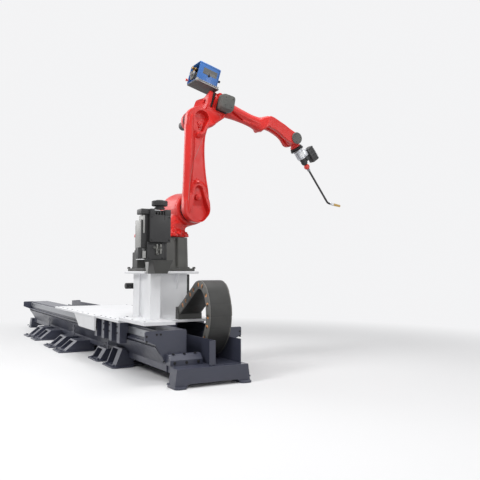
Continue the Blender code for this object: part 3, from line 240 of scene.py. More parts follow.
finishSettings = {
    # colour, colour that clouds it, roughness, metallic, coat, grain per metre and its height, worn edge
    "castRed": dict(colour=(0.69, 0.025, 0.020), cloud=(0.61, 0.021, 0.017), rough=0.38, coat=0.06,
                    grain=420, bump=0.01, worn=(0.76, 0.045, 0.036)),
    "baseGrey": dict(colour=(0.064, 0.064, 0.060), cloud=(0.048, 0.048, 0.046), rough=0.52, grain=500,
                     bump=0.10, worn=(0.16, 0.16, 0.15)),
    "mouldedGrey": dict(colour=(0.108, 0.108, 0.100), cloud=(0.092, 0.092, 0.087), rough=0.55,
                        grain=900, bump=0.12, worn=(0.17, 0.17, 0.165)),
    "deckWhite": dict(colour=(0.88, 0.885, 0.90), cloud=(0.83, 0.835, 0.85), rough=0.42, coat=0.15,
                      grain=350, bump=0.05, worn=(0.90, 0.90, 0.91)),
    "railBlueGrey": dict(colour=(0.053, 0.057, 0.084), cloud=(0.045, 0.049, 0.073), rough=0.40,
                         coat=0.25, grain=380, bump=0.10, worn=(0.20, 0.21, 0.27)),
    "guideSteel": dict(colour=(0.40, 0.41, 0.43), cloud=(0.30, 0.31, 0.33), rough=0.32, metal=0.9,
                       grain=700, bump=0.06, worn=(0.60, 0.61, 0.63), stretch=(0.02, 1, 1)),
    "chainBlack": dict(colour=(0.050, 0.050, 0.048), cloud=(0.036, 0.036, 0.035), rough=0.58, grain=900,
                       bump=0.15, worn=(0.10, 0.10, 0.098)),
    "chainSide": dict(colour=(0.16, 0.155, 0.145), cloud=(0.12, 0.117, 0.11), rough=0.50, grain=900,
                      bump=0.12, worn=(0.27, 0.26, 0.25)),
    "pinCopper": dict(colour=(0.86, 0.38, 0.14), cloud=(0.78, 0.32, 0.11), rough=0.45, grain=900,
                      bump=0.04, worn=(0.92, 0.56, 0.3)),
    "feederBlue": dict(colour=(0.050, 0.165, 0.47), cloud=(0.040, 0.14, 0.41), rough=0.36, coat=0.25,
                       grain=450, bump=0.06, worn=(0.10, 0.24, 0.56)),
    "panelGrey": dict(colour=(0.115, 0.115, 0.110), cloud=(0.10, 0.10, 0.096), rough=0.34, coat=0.2,
                      grain=600, bump=0.05, worn=(0.15, 0.15, 0.15)),
    "machineBlack": dict(colour=(0.030, 0.030, 0.031), cloud=(0.021, 0.021, 0.022), rough=0.47,
                         grain=800, bump=0.14, worn=(0.085, 0.085, 0.087)),
    "bareAluminium": dict(colour=(0.66, 0.67, 0.69), cloud=(0.52, 0.53, 0.56), rough=0.30, metal=0.92,
                          grain=800, bump=0.05, worn=(0.82, 0.83, 0.85)),
    "boltSteel": dict(colour=(0.30, 0.31, 0.33), cloud=(0.20, 0.21, 0.23), rough=0.36, metal=0.85,
                      grain=900, bump=0.05, worn=(0.55, 0.56, 0.58)),
    "tubeBlack": dict(colour=(0.046, 0.046, 0.048), cloud=(0.034, 0.034, 0.036), rough=0.34, metal=0.3,
                      grain=900, bump=0.05, worn=(0.11, 0.11, 0.115)),
    "nozzleBrass": dict(colour=(0.62, 0.42, 0.15), cloud=(0.44, 0.27, 0.09), rough=0.26, metal=1.0,
                        grain=700, bump=0.05, worn=(0.80, 0.62, 0.30)),
    "ballRed": dict(colour=(0.74, 0.045, 0.030), cloud=(0.64, 0.035, 0.025), rough=0.30, coat=0.4,
                    grain=500, bump=0.03, worn=(0.86, 0.20, 0.15)),
    "machinedPale": dict(colour=(0.40, 0.40, 0.39), cloud=(0.33, 0.33, 0.32), rough=0.45, metal=0.3,
                         grain=600, bump=0.08, worn=(0.55, 0.55, 0.54)),
    # black of black parts, and also painted shade where it fills slots, recesses, gaps and the dark under
    # overhangs
    "recessBlack": dict(colour=(0.012, 0.012, 0.013), cloud=(0.008, 0.008, 0.009), rough=0.65,
                        grain=900, bump=0.05, worn=(0.03, 0.03, 0.03)),
    "fittingGrey": dict(colour=(0.30, 0.30, 0.28), cloud=(0.25, 0.25, 0.235), rough=0.45, grain=800,
                        bump=0.08, worn=(0.42, 0.42, 0.40)),
}
finishDetail = {
    "coatRough": 0.18,
    "clouds": (5.5, 5),           # noise scale and octaves
    "patches": (38, 4),
    "sheen": (16, 4),
    "edgeRadius": 0.0022,
    "edgeTurn": (0.86, 0.995),    # cosine between the rounded and the true normal, from worn to whole
    "edgeWear": 0.55,
    "grainHeight": 0.001,
}
finishes = {}


def makeFinish(name, colour, cloud, rough, grain, bump, worn, metal=0.0, coat=0.0, stretch=(1, 1, 1)):
    # paint or metal with faint clouds, a roughness that wanders, fine grain and paler broken edges
    made = bpy.data.materials.new(name)
    made.use_nodes = True
    made.diffuse_color = (*colour, 1)
    tree = made.node_tree
    place = addNode(tree, "TexCoord", {}).outputs["Object"]
    mapped = addNode(tree, "Mapping", {"Vector": place, "Scale": stretch}).outputs["Vector"]

    def noise(scale, octaves):
        values = {"Vector": mapped, "Scale": scale, "Detail": octaves}
        return addNode(tree, "TexNoise", values).outputs["Fac"]

    def spread(value, low, high, fromLow=0.3, fromHigh=0.7):
        values = {"Value": value, "From Min": fromLow, "From Max": fromHigh, "To Min": low, "To Max": high}
        return addNode(tree, "MapRange", values).outputs["Result"]

    clouds = addNode(tree, "MixRGB", {"Fac": spread(noise(*finishDetail["clouds"]), 0.0, 1.0),
                                      "Color1": (*colour, 1), "Color2": (*cloud, 1)}).outputs["Color"]
    # edges: where a rounded normal leaves the true one, the coat of paint is thin and paler
    rounded = addNode(tree, "Bevel", {"Radius": finishDetail["edgeRadius"]}, samples=4).outputs["Normal"]
    flat = addNode(tree, "NewGeometry", {}).outputs["Normal"]
    meet = addNode(tree, "VectorMath", {0: rounded, 1: flat}, operation="DOT_PRODUCT").outputs["Value"]
    edge = spread(meet, finishDetail["edgeWear"], 0.0, *finishDetail["edgeTurn"])
    patches = spread(noise(*finishDetail["patches"]), 0.35, 1.0)
    broken = addNode(tree, "Math", {0: edge, 1: patches}, operation="MULTIPLY").outputs["Value"]
    wear = addNode(tree, "MixRGB", {"Fac": broken, "Color1": clouds, "Color2": (*worn, 1)}).outputs["Color"]
    lift = addNode(tree, "Bump", {"Height": noise(grain, 2), "Normal": rounded, "Strength": bump,
                                  "Distance": finishDetail["grainHeight"]}).outputs["Normal"]
    sheen = spread(noise(*finishDetail["sheen"]), rough - 0.05, rough + 0.07)
    setSockets(tree, tree.nodes["Principled BSDF"], {
        "Base Color": wear, "Roughness": sheen, "Normal": lift, "Metallic": metal, "Coat Weight": coat,
        "Coat Roughness": finishDetail["coatRough"]})
    return made


for finishName, settings in finishSettings.items():
    finishes[finishName] = makeFinish(finishName, **settings)
print("finishes made,", len(finishes))

slotFinish = {
    "red_paint": "castRed", "dark_paint": "baseGrey",
    "cover_plastic": "mouldedGrey", "white_paint": "deckWhite",
    "rail_paint": "railBlueGrey", "machined_steel": "guideSteel", "chain_plastic": "chainBlack",
    "blue_paint": "feederBlue", "black_plastic": "machineBlack", "silver_metal": "bareAluminium",
    "brass": "nozzleBrass", "ball_red": "ballRed",
}
finishSlot = {finish: slot for slot, finish in slotFinish.items()}
finishSlot.update(chainSide="chain_plastic", pinCopper="brass", panelGrey="black_plastic",
                  boltSteel="machined_steel",
                  tubeBlack="dark_paint", recessBlack="black_plastic", fittingGrey="cover_plastic",
                  machinedPale="machined_steel")
nodeFinish = {"torch_neck": "tubeBlack", "robot_base": "mouldedGrey"}
for part in frame["record"]["subparts"]:
    node = frame["nodes"][part["node"]]
    chosen = nodeFinish.get(part["node"], slotFinish[part["material_slot"]])
    node.data.materials.clear()
    node.data.materials.append(finishes[chosen])
print("CAD nodes painted")


# Shared ways to make a piece

placeSettings = {
    "robotX": 0.275,              # the robot's first axis, along the rail
    "turnZ": 1.07,
    "shoulder": (0.195, 1.305),   # Y and Z of the second axis
    "upperLength": 0.745,
    "rollZ": 0.304,               # the fourth axis above the third
    "reach": 1.10,                # from the third axis to the fifth
    "droop": 15.3,                # degrees the forearm points down at rest
    "wristBend": 38.4,
}
robotX = placeSettings["robotX"]
places = {
    "column": Matrix.Translation((robotX, 0, placeSettings["turnZ"])),
    "shoulder": Matrix.Translation((robotX, *placeSettings["shoulder"])),
}
places["elbow"] = (places["shoulder"] @ Matrix.Translation((0, 0, placeSettings["upperLength"]))
                   @ Matrix.Rotation(-math.radians(placeSettings["droop"]), 4, "X"))
places["forearm"] = places["elbow"] @ Matrix.Translation((0, 0, placeSettings["rollZ"]))
places["tool"] = (places["forearm"] @ Matrix.Translation((0, placeSettings["reach"], 0))
                  @ Matrix.Rotation(-math.radians(placeSettings["wristBend"]), 4, "X"))
alongX, backX = (1, 0, 0), (-1, 0, 0)
alongY, backY = (0, 1, 0), (0, -1, 0)
alongZ = (0, 0, 1)
tiny = 1e-5               # radius that a closed end is drawn in to


def addPiece(name, mesh, finish, body, replaces=(), sharpAngle=32.0):
    # smooth-shaded object in a finish, riding on a body; edges sharper than sharpAngle degrees stay crisp
    mesh.name = name
    made = bpy.data.objects.new(name, mesh)
    made.data.materials.append(finishes[finish])
    bpy.context.scene.collection.objects.link(made)
    mesh.shade_smooth()
    mesh.set_sharp_from_angle(angle=math.radians(sharpAngle))
    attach(made, body)
    if replaces:
        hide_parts(*replaces)
    return made


def placed(mesh, matrix):
    mesh.transform(matrix)
    return mesh


def addJoined(name, parts, place, finish, body, **more):
    # one piece from several meshes of quads, brought to its place on the robot where it has one
    points, faces, base = [], [], 0
    for mesh in parts:
        co, quads = meshArrays(mesh)
        points.append(co)
        faces.append(quads + base)
        base += len(co)
    joined = arrayMesh(np.vstack(points), np.vstack(faces))
    if place is not None:
        placed(joined, place)
    return addPiece(name, joined, finish, body, **more)


def smoothCurve(x, knots, values):
    # cubic through (knots, values) whose slope at a knot is that of the line between its neighbours
    knots, values = np.asarray(knots, float), np.asarray(values, float)
    slope = np.gradient(values, knots)
    k = np.clip(np.searchsorted(knots, x) - 1, 0, len(knots) - 2)
    span = knots[k + 1] - knots[k]
    t = np.clip((x - knots[k]) / span, 0, 1)
    return ((2 * t**3 - 3 * t**2 + 1) * values[k] + (t**3 - 2 * t**2 + t) * span * slope[k]
            + (3 * t**2 - 2 * t**3) * values[k + 1] + (t**3 - t**2) * span * slope[k + 1])


def step(x, low, high):
    # 0 below low, 1 above high, smooth between; low may be the larger
    t = np.clip((x - low) / (high - low), 0, 1)
    return t * t * (3 - 2 * t)


def between(pair, share):
    # the value share of the way from the pair's first to its second
    return pair[0] + (pair[1] - pair[0]) * share


def turnedMesh(profile, origin=(0, 0, 0), axis=alongZ, steps=48):
    # profile of (radius, distance) carried round an axis through origin; its ends close at zero radius
    along = np.array(axis, float) / np.linalg.norm(axis)
    side = np.cross(along, (0, 0, 1.0)) if abs(along[2]) < 0.9 else np.cross(along, (1.0, 0, 0))
    side /= np.linalg.norm(side)
    other = np.cross(along, side)
    profile = np.array([(tiny, profile[0][1]), *profile, (tiny, profile[-1][1])])
    angle = np.linspace(0, 2 * np.pi, steps, endpoint=False)
    ring = np.cos(angle)[:, None] * side + np.sin(angle)[:, None] * other
    points = (np.array(origin, float) + profile[:, 1][None, :, None] * along
              + profile[:, 0][None, :, None] * ring[:, None, :])
    return outward(gridMesh(points, closeU=True))


def roundedOutline(halfU, halfV, soft, steps):
    # rectangle about zero whose corners are quarter circles: at each, the circle's centre plus soft times
    # the cosine and the sine of an angle that goes up to a right angle, or back on every other corner
    quarter = np.linspace(0, np.pi / 2, steps + 1)
    corners = []
    for signU, signV in ((1, 1), (-1, 1), (-1, -1), (1, -1)):
        a = quarter if signU == signV else quarter[::-1]
        corners.append(np.column_stack([signU * (halfU - soft + soft * np.cos(a)),
                                        signV * (halfV - soft + soft * np.sin(a))]))
    return np.vstack(corners)


def boxMesh(low, high, soft=0.003, steps=3):
    # box with rounded edges: a rounded rectangle carried up a quarter round, up the side and in again
    low, high = np.array(low, float), np.array(high, float)
    half, middle = (high - low) / 2, (high + low) / 2
    soft = min(soft, half.min() * 0.95)
    lift = np.linspace(np.pi / 2, 0, steps + 1)
    rings = []
    for way, angles in ((-1, lift), (1, lift[::-1])):
        for a in angles:
            shrink = soft * (1 - np.cos(a))
            flat = roundedOutline(half[0] - shrink, half[1] - shrink, soft - shrink, steps)
            level = way * (half[2] - soft + soft * np.sin(a))
            rings.append(np.column_stack([flat, np.full(len(flat), level)]))
    ends = [np.tile([0, 0, way * half[2]], (len(rings[0]), 1)) for way in (-1, 1)]
    points = np.array([ends[0], *rings, ends[1]]) + middle
    return gridMesh(points.transpose(1, 0, 2), closeU=True)


def tubeMesh(path, radius, steps=16, lie=alongZ):
    # round tube along a path: at each point a circle across the tangent, in the plane of side and other,
    # where side is square to both the tangent and lie
    path = np.array(path, float)
    radius = np.broadcast_to(np.asarray(radius, float), (len(path),))
    tangent = np.gradient(path, axis=0)
    tangent /= np.linalg.norm(tangent, axis=1, keepdims=True)
    side = np.cross(tangent, np.array(lie, float))
    side /= np.linalg.norm(side, axis=1, keepdims=True)
    other = np.cross(side, tangent)
    path, side, other = (np.vstack([a[:1], a, a[-1:]]) for a in (path, side, other))
    radius = np.concatenate([[tiny], radius, [tiny]])
    angle = np.linspace(0, 2 * np.pi, steps, endpoint=False)[:, None, None]
    points = path[None] + radius[None, :, None] * (np.cos(angle) * side[None] + np.sin(angle) * other[None])
    return gridMesh(points, closeU=True)


def slabMesh(outline, axis, start, end, soft=0.002, steps=3):
    # flat outline carried from start to end along X, Y or Z with a quarter-round edge at both faces
    outline = np.array(outline, float)
    middle = outline.mean(axis=0)
    along = np.roll(outline, -1, axis=0) - np.roll(outline, 1, axis=0)
    along /= np.maximum(np.linalg.norm(along, axis=1, keepdims=True), 1e-9)
    inward = np.stack([-along[:, 1], along[:, 0]], -1)
    if np.sum((middle - outline) * inward) < 0:
        inward = -inward
    way = 1 if end > start else -1
    quarter = np.linspace(np.pi / 2, 0, steps + 1)
    rings = [(middle + 0 * outline, start)]
    for face, turn, angles in ((start, way, quarter), (end, -way, quarter[::-1])):
        rings += [(outline + inward * soft * (1 - np.cos(a)),
                   face + turn * soft * (1 - np.sin(a))) for a in angles]
    rings += [(middle + 0 * outline, end)]
    flat = np.array([ring for ring, level in rings])
    level = np.array([level for ring, level in rings])[:, None] + 0 * flat[..., 0]
    columns = {"x": (level, flat[..., 0], flat[..., 1]), "y": (flat[..., 0], level, flat[..., 1]),
               "z": (flat[..., 0], flat[..., 1], level)}[axis]
    return outward(gridMesh(np.stack(columns, -1).transpose(1, 0, 2), closeU=True))


def ovalOutline(halfWide, halfHigh, steps=40, middle=(0, 0), power=2.0, turn=0.0):
    # superellipse: a circle or oval at power 2, squarer above it
    a = np.linspace(0, 2 * np.pi, steps, endpoint=False)
    x = halfWide * np.sign(np.cos(a)) * np.abs(np.cos(a)) ** (2 / power)
    y = halfHigh * np.sign(np.sin(a)) * np.abs(np.sin(a)) ** (2 / power)
    c, s = math.cos(turn), math.sin(turn)
    return np.stack([middle[0] + c * x - s * y, middle[1] + s * x + c * y], -1)


def ringOf(count, radius, first=0.0, middle=(0, 0)):
    # places evenly round a circle
    return [(middle[0] + radius * math.cos(first + math.tau * k / count),
             middle[1] + radius * math.sin(first + math.tau * k / count)) for k in range(count)]


def screwMesh(place, axis, radius, height, socket):
    # chamfered hexagon on a thin washer, or round head with a sunk socket; shares of radius and of height
    if socket:
        shares = ((1, 0), (1, 0.85), (0.86, 1), (0.52, 1), (0.48, 0.35))
    else:
        shares = ((1.35, 0), (1.35, 0.22), (1, 0.26), (1, 0.85), (0.84, 1))
    return turnedMesh([(radius * r, height * h) for r, h in shares], place, axis, 12 if socket else 6)


def addScrews(name, spots, finish, body, place, radius, height, socket=False):
    # all of a group's screw heads as one piece; spots are (place, axis)
    heads = [screwMesh(spot, axis, radius, height, socket) for spot, axis in spots]
    addJoined(name, heads, place, finish, body, sharpAngle=28)


# Energy chain: a smooth band with pale side plates, copper pins and fine joints between its covers

chainSettings = {
    "middleY": 0.163,
    "width": 0.187,
    "thick": 0.065,
    "corner": 0.006,
    "lowZ": 0.1413,
    "riseAngle": 33.0,
    "bigRadius": 0.30,
    "smallRadius": 0.12,
    "smallTurn": 32.3,
    "bigCentreX": 0.43,
    "startX": 0.213,
    "tail": 0.60,
    "pitch": 0.080,
    "perLink": 24,                # rings of points to a link
    "seam": (0.0012, 0.022),      # depth in metres, half width as a share of a link
    "plateThick": 0.009,
    "plateOver": 0.10,            # share of a link that a side plate laps over its neighbour
    "plateLap": 0.0016,           # every other plate is thinner by this
    "plateHigh": 0.985,
    "pinRadius": 0.0155,
    "pinShape": ((1.18, 0), (1.18, 0.0006), (1, 0.0010), (1, 0.0016), (0.75, 0.0018)),
}


def chainLine(settings, s):
    # (x, z, heading) at shares s of the run: up a straight, over a small arc, round a big arc, back in the
    # channel. On an arc the heading falls evenly with distance, and the point is the centre plus the radius
    # times the heading's normal; each arc starts where the line before touches it.
    rise, smallTurn = math.radians(settings["riseAngle"]), math.radians(settings["smallTurn"])
    bigR, smallR = settings["bigRadius"], settings["smallRadius"]
    centreZ = settings["lowZ"] + settings["thick"] / 2
    bigX, bigZ = settings["bigCentreX"], centreZ + bigR
    smallX = bigX + (bigR - smallR) * math.cos(smallTurn)
    smallZ = bigZ + (bigR - smallR) * math.sin(smallTurn)
    touchX, touchZ = smallX - smallR * math.sin(rise), smallZ + smallR * math.cos(rise)
    straight = (touchX - settings["startX"]) / math.cos(rise)
    smallArc = smallR * (rise + math.pi / 2 - smallTurn)
    bigArc = bigR * (math.pi / 2 + smallTurn)
    total = straight + smallArc + bigArc + settings["tail"]
    s = np.asarray(s, float) * total
    onStraight = s < straight
    onSmall = ~onStraight & (s < straight + smallArc)
    onBig = ~onStraight & ~onSmall & (s < straight + smallArc + bigArc)
    heading = np.select([onStraight, onSmall, onBig],
                        [rise + 0 * s, rise - (s - straight) / smallR,
                         smallTurn - math.pi / 2 - (s - straight - smallArc) / bigR], -math.pi)
    x = np.select([onStraight, onSmall, onBig],
                  [touchX - (straight - s) * math.cos(rise), smallX - smallR * np.sin(heading),
                   bigX - bigR * np.sin(heading)], bigX - (s - straight - smallArc - bigArc))
    z = np.select([onStraight, onSmall, onBig],
                  [touchZ - (straight - s) * math.sin(rise), smallZ + smallR * np.cos(heading),
                   bigZ + bigR * np.cos(heading)], centreZ)
    return x + robotX, z, heading, total


def addChain(settings):
    total = chainLine(settings, [0.0])[3]
    links = round(total / settings["pitch"])
    s = np.linspace(0, 1, links * settings["perLink"] + 1)
    x, z, heading, total = chainLine(settings, s)
    phase = (s * links) % 1
    depth, spread = settings["seam"]
    seam = depth * np.exp(-((np.minimum(phase, 1 - phase)) / spread) ** 2)
    thick = settings["plateThick"]
    half, halfY = settings["thick"] / 2, settings["width"] / 2 - thick
    # cover: a rounded rectangle across the run, its face dipping into a fine seam at each link's end
    across, up = roundedOutline(halfY, half, settings["corner"], 3).T
    shrink = 1 - seam / half
    normal = np.stack([-np.sin(heading), 0 * heading, np.cos(heading)], -1)
    centre = np.stack([x, settings["middleY"] + 0 * x, z], -1)
    points = (centre[None] + (up[:, None] * shrink[None])[..., None] * normal[None]
              + across[:, None, None] * np.array([0, 1.0, 0]))
    first, last = (centre[None, end].repeat(len(up), 0) for end in (slice(0, 1), slice(-1, None)))
    cover = outward(gridMesh(np.concatenate([first, points, last], axis=1), closeU=True))
    addPiece("chainCovers", cover, "chainBlack", "carriage", replaces=("energy_chain",), sharpAngle=50)

    # side plates: the run's line moved out and in by a reach that falls to nothing at both ends of a link,
    # as the root of one less the tenth power does, so that the plates' ends are round and lap each other
    plates, pins = [], []
    share = np.linspace(-1, 1, 15)
    reach = np.minimum(1, np.sqrt(np.clip(1 - np.abs(share) ** 10, 0, 1)) + 0.02)
    reach = half * settings["plateHigh"] * reach
    radius = settings["pinRadius"]
    for side in (-1, 1):
        inner = settings["middleY"] + side * halfY
        for k in range(links):
            over = settings["plateOver"]
            local = np.linspace(k - over, k + 1 + over, len(share)) / links
            px, pz, ph, _ = chainLine(settings, np.clip(local, 0, 1))
            line, lift = np.stack([px, pz], -1), np.stack([-np.sin(ph) * reach, np.cos(ph) * reach], -1)
            outline = np.vstack([line + lift, (line - lift)[::-1]])
            outer = inner + side * (thick - settings["plateLap"] * (k % 2))
            plates.append(slabMesh(outline, "y", inner - side * 0.001, outer, 0.0016, 2))
            if k:
                px, pz, _, _ = chainLine(settings, [k / links])
                seat = (px[0], inner + side * (thick - 0.0018), pz[0])
                shape = [(radius * r, h) for r, h in settings["pinShape"]]
                pins.append(turnedMesh(shape, seat, (0, side, 0), 20))
    addJoined("chainSidePlates", plates, None, "chainSide", "carriage", sharpAngle=40)
    addJoined("chainPins", pins, None, "pinCopper", "carriage", sharpAngle=40)


addChain(chainSettings)
print("energy chain made")


# Lower arm: one closed skin, an outer face with spine, rims, pockets, bosses and lugs, and a plain back

armSettings = {
    "length": 0.745,
    "lowRadius": 0.12,
    "highRadius": 0.105,
    "highShift": 0.007,
    "innerX": 0.232,
    "lobeInnerX": 0.222,
    "webX": 0.270,
    "rimX": 0.294,
    "edgeRound": 0.011,
    "frontZ": (0.0, 0.06, 0.157, 0.24, 0.365, 0.492, 0.602, 0.69, 0.745),
    "frontY": (0.12, 0.1165, 0.108, 0.093, 0.078, 0.072, 0.079, 0.0980, 0.112),
    "border": (0.009, 0.30),      # how far inside the front edge, share of the rim's height
    "borderFade": (0.010, 0.004),
    "pocketRim": (0.052, 0.016),  # how far outside a pocket its raised rim starts, and is full
    "lobeRim": (1.28, 0.98),      # the same for a lobe, in its radii
    "pocketWall": (-0.002, 0.010),
    "pocketShallow": (0.42, 0.25, 0.8),      # share lost towards the tip, and where that starts and ends
    "spineZ": (-0.10, 0.04, 0.25, 0.50, 0.745, 0.83),
    "spineY": (-0.064, -0.084, -0.078, -0.064, -0.056, -0.045),
    "spineHalf": (0.024, 0.030, 0.040, 0.046, 0.040, 0.030),
    "spineTop": 0.302,
    "pockets": (
        dict(centre=(0.028, -0.026), radius=0.083, tip=(0.012, 0.150), tipRadius=0.034, depth=0.060),
        dict(centre=(0.036, 0.755), radius=0.064, tip=(0.026, 0.662), tipRadius=0.026, depth=0.058)),
    "bosses": ((0.013, 0.091, 0.026, 0.284), (0.022, 0.700, 0.025, 0.286)),       # Y, Z, radius, top
    "lugs": ((0.0, 0.222, 0.020, 0.016), (0.004, 0.606, 0.021, 0.020), (-0.018, 0.208, 0.012, 0.010)),
    "seals": ((0, 0.109), (0.745, 0.091)),                                        # height, radius
    "sealShape": ((0.004, 0.1856), (0, 0.188), (0, 0.222), (0.006, 0.229)),       # in from the radius, X
    "lineEnds": (0.06, 0.60),
    "lineZ": (0.06, 0.224, 0.351, 0.482, 0.587, 0.61),
    "lineY": (-0.088, -0.074, -0.044, 0.010, 0.052, 0.060),
    "lineRadius": 0.0011,
    "alongSteps": 380,
    "roundSteps": 52,
    "acrossSteps": 150,
    "backSteps": 40,
}


def dropDistance(y, z, pocket):
    # distance outside a teardrop, negative inside: the nearest of circles that shrink from centre to tip
    (cy, cz), (ty, tz) = pocket["centre"], pocket["tip"]
    length = math.hypot(ty - cy, tz - cz)
    uy, uz = (ty - cy) / length, (tz - cz) / length
    share = np.clip(((y - cy) * uy + (z - cz) * uz) / length, 0, 1)
    share = np.clip(share + 0.18 * share * (1 - share), 0, 1)
    radius = between((pocket["radius"], pocket["tipRadius"]), share)
    return np.hypot(y - cy - uy * length * share, z - cz - uz * length * share) - radius


def armFace(y, z, settings):
    # X of the outer face: web, plus raised rims round the pockets, plus the round spine, less the pockets
    x = np.full_like(y, settings["webX"])
    raised = np.zeros_like(y)
    for pocket in settings["pockets"]:
        raised = np.maximum(raised, step(dropDistance(y, z, pocket), *settings["pocketRim"]))
    length = settings["length"]
    lobes = ((0, settings["lowRadius"], 0), (length, settings["highRadius"], settings["highShift"]))
    start, full = settings["lobeRim"]
    for height, radius, shift in lobes:
        raised = np.maximum(raised, step(np.hypot(y - shift, z - height), radius * start, radius * full))
    # a narrow raised border follows the front edge from lobe to lobe
    inset, share = settings["border"]
    border = smoothCurve(z, settings["frontZ"], settings["frontY"]) - inset
    raised = np.maximum(raised, share * step(np.abs(y - border), *settings["borderFade"]))
    x += (settings["rimX"] - settings["webX"]) * raised
    middle = smoothCurve(z, settings["spineZ"], settings["spineY"])
    across = np.clip(np.abs(y - middle) / smoothCurve(z, settings["spineZ"], settings["spineHalf"]), 0, 1)
    ends = step(z, -0.105, -0.02) * step(z, length + 0.085, length + 0.01)
    spine = (settings["spineTop"] - settings["webX"]) * (1 - across**2) ** 1.5 * ends
    x = np.maximum(x, settings["webX"] + spine)
    for pocket in settings["pockets"]:
        share = np.clip(((z - pocket["centre"][1]) / (pocket["tip"][1] - pocket["centre"][1])), 0, 1)
        lost, start, end = settings["pocketShallow"]
        depth = pocket["depth"] * (1 - lost * step(share, start, end))
        x -= depth * step(-dropDistance(y, z, pocket), *settings["pocketWall"])
    for by, bz, radius, height in settings["lugs"]:
        x += height * step(np.hypot((y - by) * 0.8, z - bz), radius * 1.15, radius * 0.55)
    return x


def addLowerArm(settings):
    length, low, high = settings["length"], settings["lowRadius"], settings["highRadius"]
    # outline: a circle below and above, and between them a straight back and a curved front; heights are
    # crowded at the round ends, so that the outline stays round there
    bend = np.linspace(0, np.pi / 2, settings["roundSteps"])
    straight = np.linspace(0, length, settings["alongSteps"] - 2 * (len(bend) - 1))
    z = np.concatenate([-low * np.cos(bend[:-1]), straight, length + high * np.sin(bend[1:])])
    belowEdge = np.sqrt(np.clip(low**2 - np.minimum(z, 0) ** 2, 0, None))
    aboveEdge = np.sqrt(np.clip(high**2 - np.maximum(z - length, 0) ** 2, 0, None))
    shift = settings["highShift"]
    back = np.where(z < 0, -belowEdge, np.where(z > length, shift - aboveEdge,
                                                between((-low, shift - high), np.clip(z / length, 0, 1))))
    front = np.where(z < 0, belowEdge, np.where(z > length, shift + aboveEdge,
                                                smoothCurve(z, settings["frontZ"], settings["frontY"])))
    middle, half = (back + front)[:, None] / 2, np.maximum((front - back) / 2, tiny)[:, None]

    # across: the outer face from back to front edge, the wall, the plain inner face, and the wall again
    soft = settings["edgeRound"]

    def edgeFall(w):
        # how far a face falls away near an edge, as a quarter circle does: soft times one less the root
        # of one less over squared
        over = np.clip(1 - half * (1 - np.abs(w)) / soft, 0, 1)
        return soft * (1 - np.sqrt(np.clip(1 - over**2, 0, 1)))

    w = np.linspace(-1, 1, settings["acrossSteps"])
    w = (np.sign(w) * (1 - (1 - np.abs(w)) ** 1.25))[None]
    y = middle + half * w
    outer = armFace(y, np.broadcast_to(z[:, None], y.shape), settings) - edgeFall(w)
    lobe = np.maximum(step(np.abs(z), low * 1.25, low * 0.9),
                      step(np.abs(z - length), high * 1.25, high * 0.9))
    lobe = np.where((z < 0) | (z > length), 1, lobe)
    wIn = np.linspace(1, -1, settings["backSteps"])[None]
    inner = between((settings["innerX"], settings["lobeInnerX"]), lobe)[:, None] + edgeFall(wIn)
    wall = np.linspace(0, 1, 6)[1:-1][None]
    frontWall = between((outer[:, -1:], inner[:, :1]), wall)
    backWall = between((inner[:, -1:], outer[:, :1]), wall)
    x = np.hstack([outer, frontWall, inner, backWall])
    y = np.hstack([y, np.broadcast_to(front[:, None], frontWall.shape), middle + half * wIn,
                   np.broadcast_to(back[:, None], backWall.shape)])
    skin = outward(gridMesh(np.stack([x, y, np.broadcast_to(z[:, None], x.shape)], -1), closeV=True))
    addPiece("lowerArmCasting", placed(skin, places["shoulder"]), "castRed", "lower_arm",
             replaces=("lower_arm",),
             sharpAngle=70)

    # seal rings on both axes, between the lobes and the housings they turn on; their black is painted shade
    # for the gap there
    seals = []
    for height, radius in settings["seals"]:
        profile = [(radius - inset, x) for inset, x in settings["sealShape"]]
        seals.append(turnedMesh(profile, (0, 0, height), alongX, 64))
    addJoined("lowerArmSealShade", seals, places["shoulder"], "recessBlack", "lower_arm")

    # the fine line left where the two halves of the mould met, running slantwise over the web
    seamZ = np.linspace(*settings["lineEnds"], 90)
    seamY = smoothCurve(seamZ, settings["lineZ"], settings["lineY"])
    seamX = armFace(seamY, seamZ, settings) - 0.0002
    line = outward(tubeMesh(np.stack([seamX, seamY, seamZ], -1), settings["lineRadius"], 8, alongX))
    addPiece("armMouldLine", placed(line, places["shoulder"]), "fittingGrey", "lower_arm")

    # nut and stud on a round boss in each pocket
    nuts = []
    for y, z, r, top in settings["bosses"]:
        for profile, sides in (([(r + 0.003, 0.205), (r, top - 0.002), (r - 0.002, top)], 32),
                               ([(r * 0.74, top), (r * 0.74, top + 0.007), (r * 0.62, top + 0.009)], 6),
                               ([(r * 0.32, top), (r * 0.32, top + 0.013), (r * 0.25, top + 0.014)], 16)):
            nuts.append(turnedMesh(profile, (0, y, z), alongX, sides))
    addJoined("armNuts", nuts, places["shoulder"], "castRed", "lower_arm")


addLowerArm(armSettings)
print("lower arm made")


# Castings: each is its CAD solid with bosses and ribs, evened out, then carved by a function of place

def softened(skin, co, share, rounds):
    # moves each point towards the mean of its neighbours, rounds times over, by its own share
    edges = np.empty(len(skin.edges) * 2, np.int32)
    skin.edges.foreach_get("vertices", edges)
    first, second = edges.reshape(-1, 2).T
    count = len(co)
    near = np.bincount(first, minlength=count) + np.bincount(second, minlength=count)
    for _ in range(rounds):
        total = np.stack([np.bincount(first, co[second, k], count)
                          + np.bincount(second, co[first, k], count) for k in range(3)], -1)
        co = co + (total / near[:, None] - co) * (0.6 * share)[:, None]
    return co


